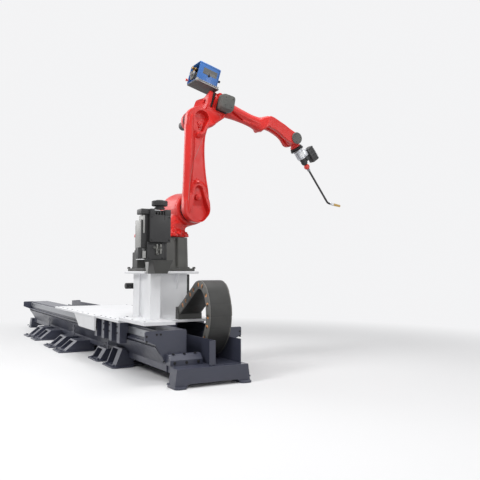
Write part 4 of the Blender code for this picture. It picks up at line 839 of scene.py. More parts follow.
def castSkin(name, node, body, place, voxel, rounds, extra, soften=None, carve=None):
    # the solid's and the extras' triangles together, remeshed in voxels and smoothed as a whole, then
    # softened and carved as arrays in the casting's own place; soften is (share at each point, rounds)
    co, triangles = meshArrays(frame["nodes"][node].data)
    points, faces, base = [co], [triangles], len(co)
    for mesh in extra:
        co, quads = meshArrays(placed(mesh, place))
        quads = quads + base
        points.append(co)
        faces += [quads[:, [0, 1, 2]], quads[:, [0, 2, 3]]]
        base += len(co)
    rough = bpy.data.objects.new(name + "Rough", arrayMesh(np.vstack(points), np.vstack(faces)))
    bpy.context.scene.collection.objects.link(rough)
    weld = rough.modifiers.new("merge", "WELD")
    weld.merge_threshold = 0.00002
    remesh = rough.modifiers.new("skin", "REMESH")
    remesh.mode = "VOXEL"
    remesh.voxel_size = voxel
    even = rough.modifiers.new("even", "SMOOTH")
    even.factor = 0.5
    even.iterations = rounds
    skin = bpy.data.meshes.new_from_object(rough.evaluated_get(bpy.context.evaluated_depsgraph_get()))
    bpy.data.objects.remove(rough, do_unlink=True)
    skin.transform(place.inverted())
    co = np.empty(len(skin.vertices) * 3, np.float32)
    skin.vertices.foreach_get("co", co)
    co = co.reshape(-1, 3).astype(float)
    if soften:
        share, softRounds = soften
        co = softened(skin, co, share(co), softRounds)
        skin.vertices.foreach_set("co", co.ravel())
        skin.update()
    if carve:
        normal = np.empty(co.size, np.float32)
        skin.vertices.foreach_get("normal", normal)
        skin.vertices.foreach_set("co", carve(co, normal.reshape(-1, 3)).ravel())
    skin.transform(place)
    skin.update()
    addPiece(name, skin, "castRed", body, replaces=(node,), sharpAngle=75)


# Turning column: round foot with eight bolted ears, drawn-in neck, cross housing with a flange for the arm

columnSettings = {
    "ears": (8, 0.210, math.radians(9)),     # how many, radius of their circle, where the first one is
    "earSize": 0.024,
    "earHigh": 0.036,
    "earRootIn": 0.82,
    "earRootHigh": 0.091,
    "earBolt": (0.011, 0.010),
    "waist": (0.072, 0.034, 0.13),           # height, spread, how much it draws in
    "groove": (0.148, 0.006, 0.005),         # X, spread, depth
    "housing": (0.195, 0.235),               # Y and Z
    "flangeRadius": 0.118,
    "flangeScrews": (12, 0.105, 0.1835),     # how many, radius of their circle, X
    "flangeScrew": (0.0065, 0.006),
    "ribs": ((0.075, 0.087), (0.118, 0.130)),
    "ribOutline": ((0.075, 0.03), (0.175, 0.03), (0.245, 0.185), (0.105, 0.215)),
    "buttressFoot": ((0.178, 0.022), (0.178, 0.140), (0.050, 0.140), (0.050, 0.022)),
    "buttressTip": (0.098, 0.084),
    "buttressZ": (0.030, 0.200),
    "sideBosses": ((0.019, 0.188, 0.058, 0.066), (0.017, 0.197, 0.086, 0.030)),   # radius, top, Y, Z
    "rimBosses": (0.9, 1.55, 3.6, 4.25, 4.9),
    "rimCircle": 0.115,
}


def addColumn(settings):
    size, high = settings["earSize"], settings["earHigh"]
    housingY, housingZ = settings["housing"]
    ears = ringOf(*settings["ears"])
    extra = []
    for x, y in ears:
        rootX, rootY = x * settings["earRootIn"], y * settings["earRootIn"]
        ear = ((size, 0.002), (size, high - 0.004), (size - 0.004, high))
        root = ((size * 1.4, 0.002), (size * 0.9, high - 0.004), (0.004, settings["earRootHigh"]))
        extra += [turnedMesh(ear, (x, y, 0), alongZ, 24), turnedMesh(root, (rootX, rootY, 0), alongZ, 20)]
    # ribs from the foot up to the cross housing
    extra += [slabMesh(settings["ribOutline"], "x", start, end, 0.004) for start, end in settings["ribs"]]
    # buttress: a rectangle on the foot that shrinks to a point up the neck
    share = np.linspace(0, 1, 12)[None, :, None]
    foot = np.column_stack([settings["buttressFoot"], np.full(4, settings["buttressZ"][0])])[:, None]
    tip = np.array((*settings["buttressTip"], settings["buttressZ"][1]))
    extra.append(outward(gridMesh(between((foot, tip), share), closeU=True)))
    for radius, top, y, z in settings["sideBosses"]:
        boss = ((radius, 0.10), (radius, top - 0.005), (radius - 0.004, top))
        extra.append(turnedMesh(boss, (0, y, z), alongX, 24))
    # the housing's bolt flange on the arm's side, and bosses round its rim
    radius = settings["flangeRadius"]
    flange = ((radius, 0.158), (radius + 0.006, 0.163), (radius + 0.006, 0.178), (radius, 0.183))
    extra.append(turnedMesh(flange, (0, housingY, housingZ), alongX, 64))
    for angle in settings["rimBosses"]:
        y, z = ringOf(1, settings["rimCircle"], angle, (housingY, housingZ))[0]
        extra.append(turnedMesh([(0.016, 0.06), (0.016, 0.168)], (0, y, z), alongX, 20))

    def carve(co, normal):
        # a shallow round groove runs about the housing behind its flange
        grooveX, spread, depth = settings["groove"]
        far = np.hypot(co[:, 1] - housingY, co[:, 2] - housingZ)
        groove = np.exp(-((co[:, 0] - grooveX) / spread) ** 2) * step(far, 0.10, 0.112)
        co = co - normal * (depth * groove)[:, None]
        # and the neck draws in to a waist above the ears
        height, spread, share = settings["waist"]
        co[:, :2] *= (1 - share * np.exp(-((co[:, 2] - height) / spread) ** 2))[:, None]
        return co

    castSkin("columnCasting", "turning_column", "column", places["column"], 0.0042, 5, extra, None, carve)
    spots = [((x, y, high), alongZ) for x, y in ears]
    addScrews("columnEarBolts", spots, "castRed", "column", places["column"], *settings["earBolt"])
    count, circle, face = settings["flangeScrews"]
    spots = [((face, y, z), alongX) for y, z in ringOf(count, circle, 0.13, (housingY, housingZ))]
    addScrews("shoulderRingScrews", spots, "castRed", "column", places["column"],
              *settings["flangeScrew"], True)


addColumn(columnSettings)
print("column made")


# Elbow: hub of the third axis and the hollow housing of the fourth, with its rear flange and round mouth

elbowSettings = {
    "axisZ": 0.304,
    "flangeY": (0.126, 0.158),
    "flangeOutline": ((-0.105, 0.200), (-0.107, 0.280), (-0.098, 0.302), (-0.075, 0.318), (-0.046, 0.334),
                      (0.000, 0.352), (0.037, 0.368), (0.060, 0.382), (0.076, 0.374), (0.083, 0.340),
                      (0.083, 0.230), (0.060, 0.200)),
    "flangeBulge": 0.042,
    "flangeSoft": 0.005,
    "innerShare": 0.96,           # the casting's own flange, under the plate
    "rearLimit": 0.137,
    "topX": (-0.105, -0.046, 0.0, 0.037, 0.060, 0.083),
    "topZ": (0.296, 0.328, 0.347, 0.362, 0.394, 0.403),
    "mouthRadius": 0.027,
    "mouthZ": 0.288,
    "mouthDepth": 0.055,
    "grooveY": (0.163, 0.194),
    "grooveDepth": 0.026,
    "wallLean": 0.030,
    "boxes": (((-0.078, 0.104, 0.170), (-0.024, 0.160, 0.296), 0.012),      # gusset
              ((-0.060, 0.180, 0.290), (0.046, 0.262, 0.3985),
               0.010),      # saddle under the feeder's plate
              ((0.050, 0.210, 0.352), (0.086, 0.246, 0.399), 0.006)),       # lug
    "frontRing": ((0.084, 0.262), (0.092, 0.270), (0.092, 0.326), (0.084, 0.334)),
    "hubRing": ((0.083, 0.140), (0.089, 0.150), (0.089, 0.172), (0.080, 0.1845)),
    "rib": ((0.060, -0.02, 0.06), (0.066, 0.07, 0.16), (0.070, 0.16, 0.225), (0.070, 0.25, 0.238)),
    "ribRadius": 0.010,
    "slot": ((0.168, 0.246), (0.190, 0.246), (0.190, 0.384), (0.168, 0.384)),
    "slotX": (0.036, 0.060),
    "screws": (10, 0.083, 0.2, 0.333),       # how many, radius of their circle, first, Y
}


def addElbow(settings):
    axisZ, mouthZ = settings["axisZ"], settings["mouthZ"]
    rearY, frontY = settings["flangeY"]
    outline = np.array(settings["flangeOutline"])
    inner = (outline - (0, axisZ)) * settings["innerShare"] + (0, axisZ)
    extra = [slabMesh(inner, "y", rearY + 0.004, frontY - 0.004, 0.010),
             *(boxMesh(*box) for box in settings["boxes"]),
             turnedMesh(settings["frontRing"], (0, 0, axisZ), alongY, 56),
             turnedMesh(settings["hubRing"], (0, 0, 0), alongX, 56),
             tubeMesh(settings["rib"], settings["ribRadius"], 12)]

    def carve(co, normal):
        # the deep slot between the rear flange and the motor's seat
        low, high = settings["grooveY"]
        slot = step(co[:, 1], low - 0.002, low + 0.006) * step(co[:, 1], high + 0.002, high - 0.006)
        side = step(co[:, 0], 0.030, 0.058) * step(co[:, 2], 0.225, 0.245)
        co[:, 0] -= settings["grooveDepth"] * slot * side
        # the casting keeps inside the flange's plate, both to the rear and under its outline
        short = np.clip(settings["rearLimit"] - co[:, 1], 0, None)
        co[:, 1] += short * step(co[:, 2], 0.188, 0.206)
        top = np.interp(co[:, 0], settings["topX"], settings["topZ"])
        over = np.clip(co[:, 2] - top, 0, None) * step(co[:, 1], 0.186, 0.166) * (co[:, 2] > 0.2)
        co[:, 2] -= over
        # the near wall leans in below the fourth axis, so the hub stands proud of it
        lean = step(co[:, 2], 0.290, 0.150) * step(co[:, 2], 0.075, 0.115) * step(co[:, 0], 0.015, 0.050)
        co[:, 0] -= settings["wallLean"] * lean * step(co[:, 1], 0.335, 0.280)
        # and the housing's round mouth is sunk forward from its rear
        far = np.hypot(co[:, 0], co[:, 2] - mouthZ)
        mouth = step(far, settings["mouthRadius"] + 0.006, settings["mouthRadius"] - 0.001)
        co[:, 1] += settings["mouthDepth"] * mouth * step(co[:, 1], 0.160, 0.145)
        return co

    def share(co):
        return step(co[:, 2], 0.06, 0.12) * step(co[:, 1], 0.26, 0.20)

    castSkin("elbowCasting", "elbow_casting", "elbow", places["elbow"], 0.0036, 6, extra,
             (share, 36), carve)

    # flange: the outline, as a smooth function of the angle about the mouth, carried over both faces and
    # back through the mouth; each rim is (Y, in from the outline) or (Y, out from the mouth's radius)
    angle = np.linspace(0, math.tau, 96, endpoint=False)
    corners = outline - (0, mouthZ)
    turn = np.arctan2(corners[:, 1], corners[:, 0]) % math.tau
    order = np.argsort(turn)
    turn, reach = turn[order], np.hypot(*corners.T)[order]
    turn = np.concatenate([turn[-3:] - math.tau, turn, turn[:3] + math.tau])
    reach = smoothCurve(angle, turn, np.concatenate([reach[-3:], reach, reach[:3]]))
    mouth, soft = settings["mouthRadius"], settings["flangeSoft"]
    edge = ((soft, 0), (soft * 0.3, soft * 0.3), (0, soft))
    rims = [(rearY + deep, reach - inset) for deep, inset in edge]
    rims += [(y, mouth + out + 0 * reach) for y, out in ((rearY, 0.006), (rearY + 0.002, 0.001),
                                                         (rearY + 0.006, -0.001), (frontY, -0.001))]
    rims += [(frontY - deep, reach - inset) for deep, inset in edge[::-1]]
    rings = np.array([np.column_stack([radius * np.cos(angle), y + 0 * angle,
                                       mouthZ + radius * np.sin(angle)])
                      for y, radius in rims])
    # its left end swells to the rear, towards the hub
    behind = rings[..., 1] < frontY - soft
    rings[..., 1] -= settings["flangeBulge"] * step(-rings[..., 0], 0.030, 0.100) * behind
    flange = outward(gridMesh(rings.transpose(1, 0, 2), closeU=True, closeV=True))
    addPiece("elbowFlange", placed(flange, places["elbow"]), "castRed", "elbow", sharpAngle=50)
    cup = [(mouth - 0.004, 0.176), (mouth - 0.003, 0.129), (mouth + 0.002, 0.129), (mouth + 0.003, 0.184)]
    bore = turnedMesh(cup, (0, 0, mouthZ), alongY, 40)
    addPiece("elbowBore", placed(bore, places["elbow"]), "castRed", "elbow", sharpAngle=50)
    # black block at the back of the slot: painted shade inside it
    slot = slabMesh(settings["slot"], "x", *settings["slotX"], 0.002)
    addPiece("elbowSlotShade", placed(slot, places["elbow"]), "recessBlack", "elbow")
    count, circle, first, face = settings["screws"]
    spots = [((x, face, z), alongY) for x, z in ringOf(count, circle, first, (0, axisZ))]
    addScrews("fourthAxisScrews", spots, "boltSteel", "elbow", places["elbow"], 0.005, 0.003, True)


addElbow(elbowSettings)
print("elbow made")


# Forearm and wrist: a tube with an upper ridge over a long recess, and the wrist's body with its neck ring

forearmSettings = {
    "collar": ((0.066, 0.3355), (0.074, 0.342), (0.074, 0.362), (0.062, 0.374)),
    "ridge": ((0.0, 0.36, 0.052), (0.0, 0.50, 0.040), (0.0, 0.62, 0.034), (0.0, 0.72, 0.040),
              (0.0, 0.79, 0.066)),
    "ridgeRadius": (0.030, 0.030, 0.030, 0.032, 0.036),
    "recessY": (0.36, 0.70),
    "recessZ": -0.024,
    "recessHalf": (0.032, 0.012),
    "recessDepth": 0.012,
    "wedgeY": (0.386, 0.530),
    "wedgeTop": (-0.006, -0.034),
    "wedgeHigh": 0.022,
    "wedgeDepth": 0.026,
}


def addForearm(settings):
    extra = [turnedMesh(settings["collar"], (0, 0, 0), alongY, 48),
             tubeMesh(settings["ridge"], settings["ridgeRadius"], 20)]

    def carve(co, normal):
        # a long recess along each side under the ridge: a groove with a round floor that fades at its ends
        low, high = settings["recessY"]
        half = between(settings["recessHalf"], np.clip((co[:, 1] - low) / (high - low), 0, 1))
        across = np.clip(np.abs(co[:, 2] - settings["recessZ"]) / half, 0, 1)
        fade = step(co[:, 1], low, low + 0.05) * step(co[:, 1], high, high - 0.10)
        outer = np.sign(co[:, 0]) * step(np.abs(co[:, 0]), 0.012, 0.030)
        inward = settings["recessDepth"] * (1 - across**2) ** 2 * fade
        # and in its rear end a sharp wedge under the ridge, that narrows to nothing
        start, end = settings["wedgeY"]
        share = np.clip((co[:, 1] - start) / (end - start), 0, 1)
        top = between(settings["wedgeTop"], share)
        under = top - settings["wedgeHigh"] * (1 - share) - 0.004
        wedge = step(co[:, 2], top + 0.002, top - 0.002) * step(co[:, 2], under - 0.006, under + 0.002)
        wedge *= step(co[:, 1], start - 0.004, start + 0.004) * step(co[:, 1], end + 0.010, end - 0.020)
        co[:, 0] -= outer * (inward + settings["wedgeDepth"] * wedge)
        return co

    def share(co):
        return 0.08 + 0.92 * step(co[:, 1], 0.76, 0.68)

    castSkin("forearmCasting", "forearm", "forearm", places["forearm"], 0.0036, 6, extra,
             (share, 70), carve)


wristSettings = {
    "neckRing": ((0.047, 0.066), (0.0505, 0.070), (0.0505, 0.080), (0.047, 0.084)),
}


def addWrist(settings):
    ring = turnedMesh(settings["neckRing"], (0, 0, 0), alongY, 48)
    castSkin("wristCasting", "wrist_body", "wrist", places["tool"], 0.0022, 8, [ring])


addForearm(forearmSettings)
addWrist(wristSettings)
print("forearm and wrist made")


# Motor cover: a superellipse carried out from its seat and drawn in at its face

coverSettings = {
    "middle": (0.2750, 0.2960),
    "half": (0.069, 0.071),
    "seatX": 0.118,
    "faceX": 0.180,
    "power": 6.0,
    "lean": (0.004, 0.008),
    "turn": 0.10,
    "screwCircle": (0.285, 0.303, 0.050),    # Y, Z, radius
    "screwTurns": (0.9, 2.4, 4.0, 5.5),
    # block behind the cover, black as painted shade of the gap between cover and housing
    "seat": ((0.070, 0.218, 0.226), (0.119, 0.326, 0.340), 0.006),
    # stations from the seat, and to the face: X from it, size, share of the lean
    "seatStations": ((0, 0, 0), (0, 0.94, 0), (0.004, 1, 0)),
    "faceStations": ((0.030, 1, 0), (0.024, 0.985, 0.2), (0.005, 0.925, 0.9), (0.0015, 0.905, 1),
                     (0, 0.88, 1), (0, 0, 1)),
}


def addElbowCover(settings):
    seatX, faceX = settings["seatX"], settings["faceX"]
    stations = [(seatX + x, size, lean) for x, size, lean in settings["seatStations"]]
    stations += [(faceX - x, size, lean) for x, size, lean in settings["faceStations"]]
    rings = []
    for x, size, lean in stations:
        halfY, halfZ = (half * size + tiny for half in settings["half"])
        middle = [at + shift * lean for at, shift in zip(settings["middle"], settings["lean"])]
        outline = ovalOutline(halfY, halfZ, 64, middle, settings["power"], settings["turn"])
        rings.append(np.column_stack([np.full(len(outline), x), outline]))
    cover = outward(gridMesh(np.array(rings).transpose(1, 0, 2), closeU=True))
    addPiece("elbowCover", placed(cover, places["elbow"]), "mouldedGrey", "elbow",
             replaces=("elbow_motor_cover",), sharpAngle=40)
    middleY, middleZ, radius = settings["screwCircle"]
    spots = [((faceX - 0.001, middleY + radius * math.cos(a), middleZ + radius * math.sin(a)), alongX)
             for a in settings["screwTurns"]]
    addScrews("elbowCoverScrews", spots, "recessBlack", "elbow", places["elbow"], 0.0042, 0.002, True)
    # dark block on the cover's seat: its black is painted shade in the gap between cover and housing
    addPiece("elbowCoverSeatShade", placed(boxMesh(*settings["seat"]), places["elbow"]), "recessBlack", "elbow")


addElbowCover(coverSettings)

wristCoverSettings = {
    "profile": ((0.050, 0.0885), (0.0560, 0.0905), (0.0565, 0.0955), (0.054, 0.0990), (0.049, 0.1000),
                (0.046, 0.0988)),
    "caps": (("nearWristCover", "near_wrist_cover", "mouldedGrey", alongX),
             ("farWristCover", "far_wrist_cover", "castRed", backX)),
    "screws": (3, 0.040, 0.5, 0.099),        # how many, radius of their circle, first, X
}


def addWristCovers(settings):
    # round caps on both ends of the fifth axis, turned, with a shallow dish
    reach = placeSettings["reach"]
    for name, node, finish, way in settings["caps"]:
        cap = turnedMesh(settings["profile"], (0, reach, 0), way, 64)
        addPiece(name, placed(cap, places["forearm"]), finish, "forearm", replaces=(node,))
    count, circle, first, face = settings["screws"]
    spots = [((face, y, z), alongX) for y, z in ringOf(count, circle, first, (reach, 0))]
    addScrews("wristCoverScrews", spots, "recessBlack", "forearm", places["forearm"], 0.0036, 0.0016, True)


addWristCovers(wristCoverSettings)
print("covers made")


# Wire feeder: folded blue housing open at the back, window panel with a latch, rollers and fittings

feederSettings = {
    "low": (-0.100, -0.040, 0.415),
    "high": (0.100, 0.170, 0.591),
    "wall": 0.005,
    "soft": 0.010,
    "floorY": 0.035,
    "panel": ((0.098, 0.005, 0.487), (0.1016, 0.142, 0.545), 0.008),
    "latch": (((0.100, 0.064, 0.486), (0.106, 0.072, 0.504), 0.003),
              ((0.094, -0.034, 0.414), (0.099, 0.166, 0.421),
               0.002)),    # latch, and the ledge under the panel
    "seams": ((((0.1002, -0.03, 0.574), (0.1002, 0.158, 0.574)), alongZ),
              (((0.1002, 0.158, 0.574), (0.1002, 0.158, 0.430)), alongX)),
    "seamRadius": 0.0010,
    "teeth": (11, -0.026, 0.172),            # how many, first and last Y
    "tooth": ((0.086, 0.4145), (0.107, 0.424), 0.0058, 0.002),    # low and high X and Z, half width, soft
    "combEnd": ((0.084, 0.4025), (0.110, 0.426), 0.010, 0.003),
    "combStrip": ((0.0935, -0.026, 0.4045), (0.1015, 0.172, 0.4155), 0.002, 2),
    "rollers": ((0.008, 0.466, 0.040, -0.052, -0.012), (-0.052, 0.506, 0.026, -0.046, -0.012)),
    "drivePlate": (((-0.085, 0.018, 0.428), (0.085, 0.030, 0.578), 0.004),
                   ((-0.070, -0.020, 0.535), (0.030, 0.0, 0.550), 0.004)),
    # turned parts of each piece: profile of (radius, distance), origin, axis, sides
    "turned": {
        "latch": ((((0.010, 0), (0.010, 0.005), (0.007, 0.008)), (0.100, 0.068, 0.482), alongX, 24),
                  (((0.006, 0), (0.006, 0.006), (0.011, 0.008), (0.011, 0.020), (0.008, 0.022)),
                   (0.080, 0.170, 0.486), alongY, 24)),
        "post": ((((0.012, -0.012), (0.012, 0.034)), (0.008, 0, 0.466), alongY, 20),),
        "hub": ((((0.012, -0.058), (0.012, -0.010)), (0.008, 0, 0.466), alongY, 20),),
        "feederBrass": ((((0.007, -0.066), (0.010, -0.062), (0.010, -0.040), (0.014, -0.038),
                          (0.014, -0.026), (0.008, -0.024), (0.008, 0.02)),
                         (-0.006, 0, 0.540), alongY, 24),
                        (((0.006, -0.056), (0.010, -0.052), (0.010, -0.030), (0.006, -0.028)),
                         (-0.034, 0, 0.558), alongY, 20),
                        (((0.013, 0), (0.013, 0.012), (0.009, 0.016)),
                         (-0.020, -0.030, 0.520), (1, 0, 0.4), 6),
                        (((0.010, 0), (0.010, 0.012)), (0.022, -0.034, 0.528), (0.3, 0, 1), 6)),
        "feederBush": ((((0.009, 0), (0.011, 0.002), (0.011, 0.012), (0.008, 0.014)),
                        (0.046, -0.056, 0.484), alongY, 24),
                       (((0.006, 0), (0.006, 0.02)), (0.008, -0.072, 0.466), alongY, 20)),
        "feederGland": ((((0.008, 0), (0.008, 0.012), (0.012, 0.013), (0.012, 0.020), (0.007, 0.022)),
                         (-0.100, -0.020, 0.560), (-1, 0, 0.2), 20),),
        "feederTap": ((((0.007, 0), (0.007, 0.012), (0.013, 0.014), (0.013, 0.024), (0.008, 0.027)),
                       (-0.080, -0.040, 0.448), (-0.3, -1, 0), 20),),
    },
    "fittings": {"feederBrass": "nozzleBrass", "feederBush": "bareAluminium", "feederGland": "recessBlack",
                 "feederTap": "ballRed"},
}


def rollerMesh(x, z, r, start, end):
    # grooved roller turned about Y: full radius at both edges, and less in a groove half way
    middle = (start + end) / 2
    profile = [(r * 0.9, start), (r, start + 0.003), (r, middle - 0.004), (r * 0.86, middle),
               (r, middle + 0.004), (r, end - 0.003), (r * 0.9, end)]
    return turnedMesh(profile, (x, 0, z), alongY, 40)


def addFeeder(settings):
    matrix = places["elbow"]
    low, high = np.array(settings["low"]), np.array(settings["high"])
    wall, soft, floorY = settings["wall"], settings["soft"], settings["floorY"]
    middle, half = (low + high) / 2, (high - low) / 2
    # shell: a rounded rectangle in X-Z carried back from the inner floor, over the open rim, and forward
    # outside to the closed front; each ring is Y, how far it grows, and the radius of its corners
    shut = -half[0] + 1e-4
    rings = []
    for y, grow, corner in ((floorY, shut, tiny), (floorY, -wall, soft - wall),
                            (low[1] + 0.003, -wall, soft - wall),
                            (low[1], -wall + 0.0015, soft), (low[1], -0.0015, soft),
                            (low[1] + 0.003, 0, soft),
                            (high[1] - 0.008, 0, soft), (high[1] - 0.002, -0.003, soft),
                            (high[1], -0.009, soft),
                            (high[1], shut, tiny)):
        flat = roundedOutline(half[0] + grow, max(half[2] + grow, 1e-4), corner, 5) + middle[[0, 2]]
        rings.append(np.column_stack([flat[:, 0], np.full(len(flat), y), flat[:, 1]]))
    shell = outward(gridMesh(np.array(rings).transpose(1, 0, 2), closeU=True))
    addPiece("feederShell", placed(shell, matrix), "feederBlue", "elbow", replaces=("feeder_case",),
             sharpAngle=40)
    addPiece("feederWindow", placed(boxMesh(*settings["panel"]), matrix), "panelGrey", "elbow")
    turned = {name: [turnedMesh(*row) for row in rows] for name, rows in settings["turned"].items()}
    latch = [boxMesh(*box) for box in settings["latch"]] + turned["latch"]
    addJoined("feederLatch", latch, matrix, "recessBlack", "elbow")
    # seams of the hinged lid: fine dark lines along the top edge and down the front
    seams = [outward(tubeMesh(path, settings["seamRadius"], 8, lie)) for path, lie in settings["seams"]]
    addJoined("feederSeams", seams, matrix, "recessBlack", "elbow")

    # the plate's silver comb, its end blocks and the strip behind it, just under the housing
    def combBlock(y, lowXZ, highXZ, halfWide, soft):
        return boxMesh((lowXZ[0], y - halfWide, lowXZ[1]), (highXZ[0], y + halfWide, highXZ[1]), soft, 2)

    count, first, last = settings["teeth"]
    comb = [combBlock(y, *settings["tooth"]) for y in np.linspace(first, last, count)]
    comb += [combBlock(y, *settings["combEnd"]) for y in (first - 0.004, last)]
    comb.append(boxMesh(*settings["combStrip"]))
    addJoined("feederComb", comb, matrix, "machinedPale", "elbow")

    # in the mouth: two grooved rollers on a plate, brass wire guides, a bush, and fittings on the far side
    rollers = [rollerMesh(*row) for row in settings["rollers"]] + turned["post"]
    addJoined("feederRollers", rollers, matrix, "mouldedGrey", "elbow", replaces=("feeder_reel",))
    plate = [boxMesh(*box) for box in settings["drivePlate"]] + turned["hub"]
    addJoined("feederDrivePlate", plate, matrix, "machineBlack", "elbow")
    for name, finish in settings["fittings"].items():
        addJoined(name, turned[name], matrix, finish, "elbow")


addFeeder(feederSettings)
print("feeder made")


# Torch: collar, tool flange, silver body, clamp, breakaway ball, bent neck, nozzle and tip, and its drive

torchSettings = {
    # turned pieces: finish, body, replaced nodes, sides, profile of (radius, distance along the tool)
    "turned": {
        "wristSeal": ("recessBlack", "wrist", (), 56,
                      ((0.050, 0.084), (0.058, 0.086), (0.060, 0.089), (0.060, 0.101), (0.057, 0.1045))),
        "toolFlange": ("machineBlack", "tool", ("tool_flange",), 56,
                       ((0.055, 0.1055), (0.066, 0.1062), (0.066, 0.1125), (0.0625, 0.1135),
                        (0.0625, 0.1185), (0.050, 0.1195))),
        "flangeRim": ("bareAluminium", "tool", (), 56,
                      ((0.0625, 0.1117), (0.0668, 0.1123), (0.0668, 0.1145), (0.0625, 0.1150))),
        "torchBody": ("bareAluminium", "tool", ("torch_body",), 56,
                      ((0.040, 0.1198), (0.045, 0.1215), (0.045, 0.133), (0.0425, 0.135), (0.0425, 0.141),
                       (0.045, 0.143), (0.045, 0.196), (0.0425, 0.198), (0.0425, 0.203), (0.0440, 0.205),
                       (0.0440, 0.211), (0.038, 0.2147))),
        "torchClamp": ("machineBlack", "tool", ("torch_clamp",), 56,
                       ((0.028, 0.2152), (0.031, 0.218), (0.031, 0.232), (0.0275, 0.234), (0.0275, 0.240),
                        (0.031, 0.242), (0.031, 0.262), (0.026, 0.276), (0.018, 0.2818))),
        "neckFerrule": ("boltSteel", "tool", (), 32,
                        ((0.0125, 0.3325), (0.0145, 0.335), (0.0145, 0.352), (0.0110, 0.356))),
    },
    "panel": (0.0462, 0.62, (0.1465, 0.1475, 0.1915, 0.1925), 0.003),    # radius, half angle, along, thick
    "ball": (0.0285, 0.3066, 0.35, 0.30),    # radius, centre, and the angles left open at both ends
    "neckStart": 0.331,
    "neckRadius": 0.0098,
    "bendAt": 0.733,
    "bendRadius": 0.050,
    "bendTurn": math.radians(45.7),
    "neckTail": 0.012,
    # silver gas nozzle in two steps, then the brass tip, both from the neck's end
    "nozzle": {
        "gasNozzle": ("bareAluminium", "gas_nozzle",
                      ((0.0098, 0.006), (0.0128, 0.010), (0.0128, 0.020), (0.0112, 0.022), (0.0112, 0.030),
                       (0.0128, 0.033), (0.0128, 0.050), (0.0115, 0.052))),
        "nozzleTip": ("nozzleBrass", "nozzle_tip",
                      ((0.0112, 0.0525), (0.0128, 0.055), (0.0128, 0.090), (0.0118, 0.098), (0.0118, 0.132),
                       (0.0095, 0.1345), (0.0070, 0.1350), (0.0066, 0.128))),
    },
}


def addTorch(settings):
    matrix = places["tool"]
    for name, (finish, body, replaces, sides, profile) in settings["turned"].items():
        mesh = turnedMesh(profile, (0, 0, 0), alongY, sides)
        addPiece(name, placed(mesh, matrix), finish, body, replaces=replaces)
    # white panel: an arc about the body, its edges turned in by the sheet's thickness
    radius, halfTurn, along, thick = settings["panel"]
    turn = np.linspace(-halfTurn, halfTurn, 9)[:, None] + 0 * np.array(along)
    sheet = np.stack([radius * np.cos(turn), np.array(along) + 0 * turn, radius * np.sin(turn)], -1)
    inner = sheet - (thick, 0, 0)
    panel = outward(gridMesh(np.concatenate([inner[:, :1], sheet, inner[:, -1:]], axis=1)))
    addPiece("torchPanel", placed(panel, matrix), "deckWhite", "tool")
    # ball: a half circle turned about the tool, short of both poles
    radius, centre, first, last = settings["ball"]
    turn = np.linspace(first, math.pi - last, 22)
    profile = np.column_stack([radius * np.sin(turn), centre - radius * np.cos(turn)])
    ball = turnedMesh(profile, (0, 0, 0), alongY, 56)
    addPiece("torchBall", placed(ball, matrix), "ballRed", "tool", replaces=("safety_ball",), sharpAngle=60)

    # neck: straight, then an arc that turns by bendTurn about a centre beside it, then a short straight
    bend, total = settings["bendRadius"], settings["bendTurn"]
    bendY = settings["bendAt"] - bend * math.tan(total / 2)
    path = [(0, y, 0) for y in np.linspace(settings["neckStart"], bendY, 30)]
    path += [(0, bendY + bend * math.sin(a), bend * (1 - math.cos(a)))
             for a in np.linspace(0.02, total, 16)]
    end, way = np.array(path[-1]), np.array((0, math.cos(total), math.sin(total)))
    path.append(tuple(end + way * settings["neckTail"]))
    neck = outward(tubeMesh(path, settings["neckRadius"], 24, alongX))
    addPiece("torchNeck", placed(neck, matrix), "tubeBlack", "tool", replaces=("torch_neck",),
             sharpAngle=50)
    for name, (finish, node, profile) in settings["nozzle"].items():
        addPiece(name, placed(turnedMesh(profile, end, way, 32), matrix), finish, "tool", replaces=(node,))


addTorch(torchSettings)

# servo drive: ribbed body between two end caps, with a plug, held off the torch by two cheeks
driveSettings = {
    "body": (((-0.035, 0.172, 0.080), (0.035, 0.298, 0.160), 0.010),
             ((-0.0375, 0.161, 0.0775), (0.0375, 0.182, 0.1625), 0.012),
             ((-0.0375, 0.280, 0.0775), (0.0375, 0.309, 0.1625), 0.014),
             ((-0.012, 0.214, 0.160), (0.012, 0.240, 0.176), 0.005)),
    "ribs": (7, 0.191, 0.0125),              # how many, first Y, pitch
    "rib": ((-0.0365, 0.079), (0.0365, 0.1612), 0.005, 0.004),
    "cheeks": (((-0.024, 0.150, 0.030), (-0.018, 0.215, 0.086), 0.003, 2),
               ((0.018, 0.150, 0.030), (0.024, 0.215, 0.086), 0.003, 2),
               ((-0.024, 0.163, 0.062), (0.024, 0.175, 0.079), 0.003, 2),
               ((-0.024, 0.196, 0.062), (0.024, 0.206, 0.079), 0.003, 2)),
    "link": ((-0.020, 0.218, 0.028), (0.020, 0.262, 0.082), 0.005),
}


def addTorchDrive(settings):
    matrix = places["tool"]
    parts = [boxMesh(*box) for box in settings["body"]]
    count, first, pitch = settings["ribs"]
    (lowX, lowZ), (highX, highZ), wide, soft = settings["rib"]
    for k in range(count):
        y = first + pitch * k
        parts.append(boxMesh((lowX, y, lowZ), (highX, y + wide, highZ), soft, 2))
    addJoined("torchDrive", parts, matrix, "machineBlack", "tool", replaces=("torch_motor",))
    cheeks = [boxMesh(*box) for box in settings["cheeks"]]
    addJoined("torchDriveCheeks", cheeks, matrix, "bareAluminium", "tool")
    addPiece("torchDriveLink", placed(boxMesh(*settings["link"]), matrix), "machineBlack", "tool")


addTorchDrive(driveSettings)
print("torch made")
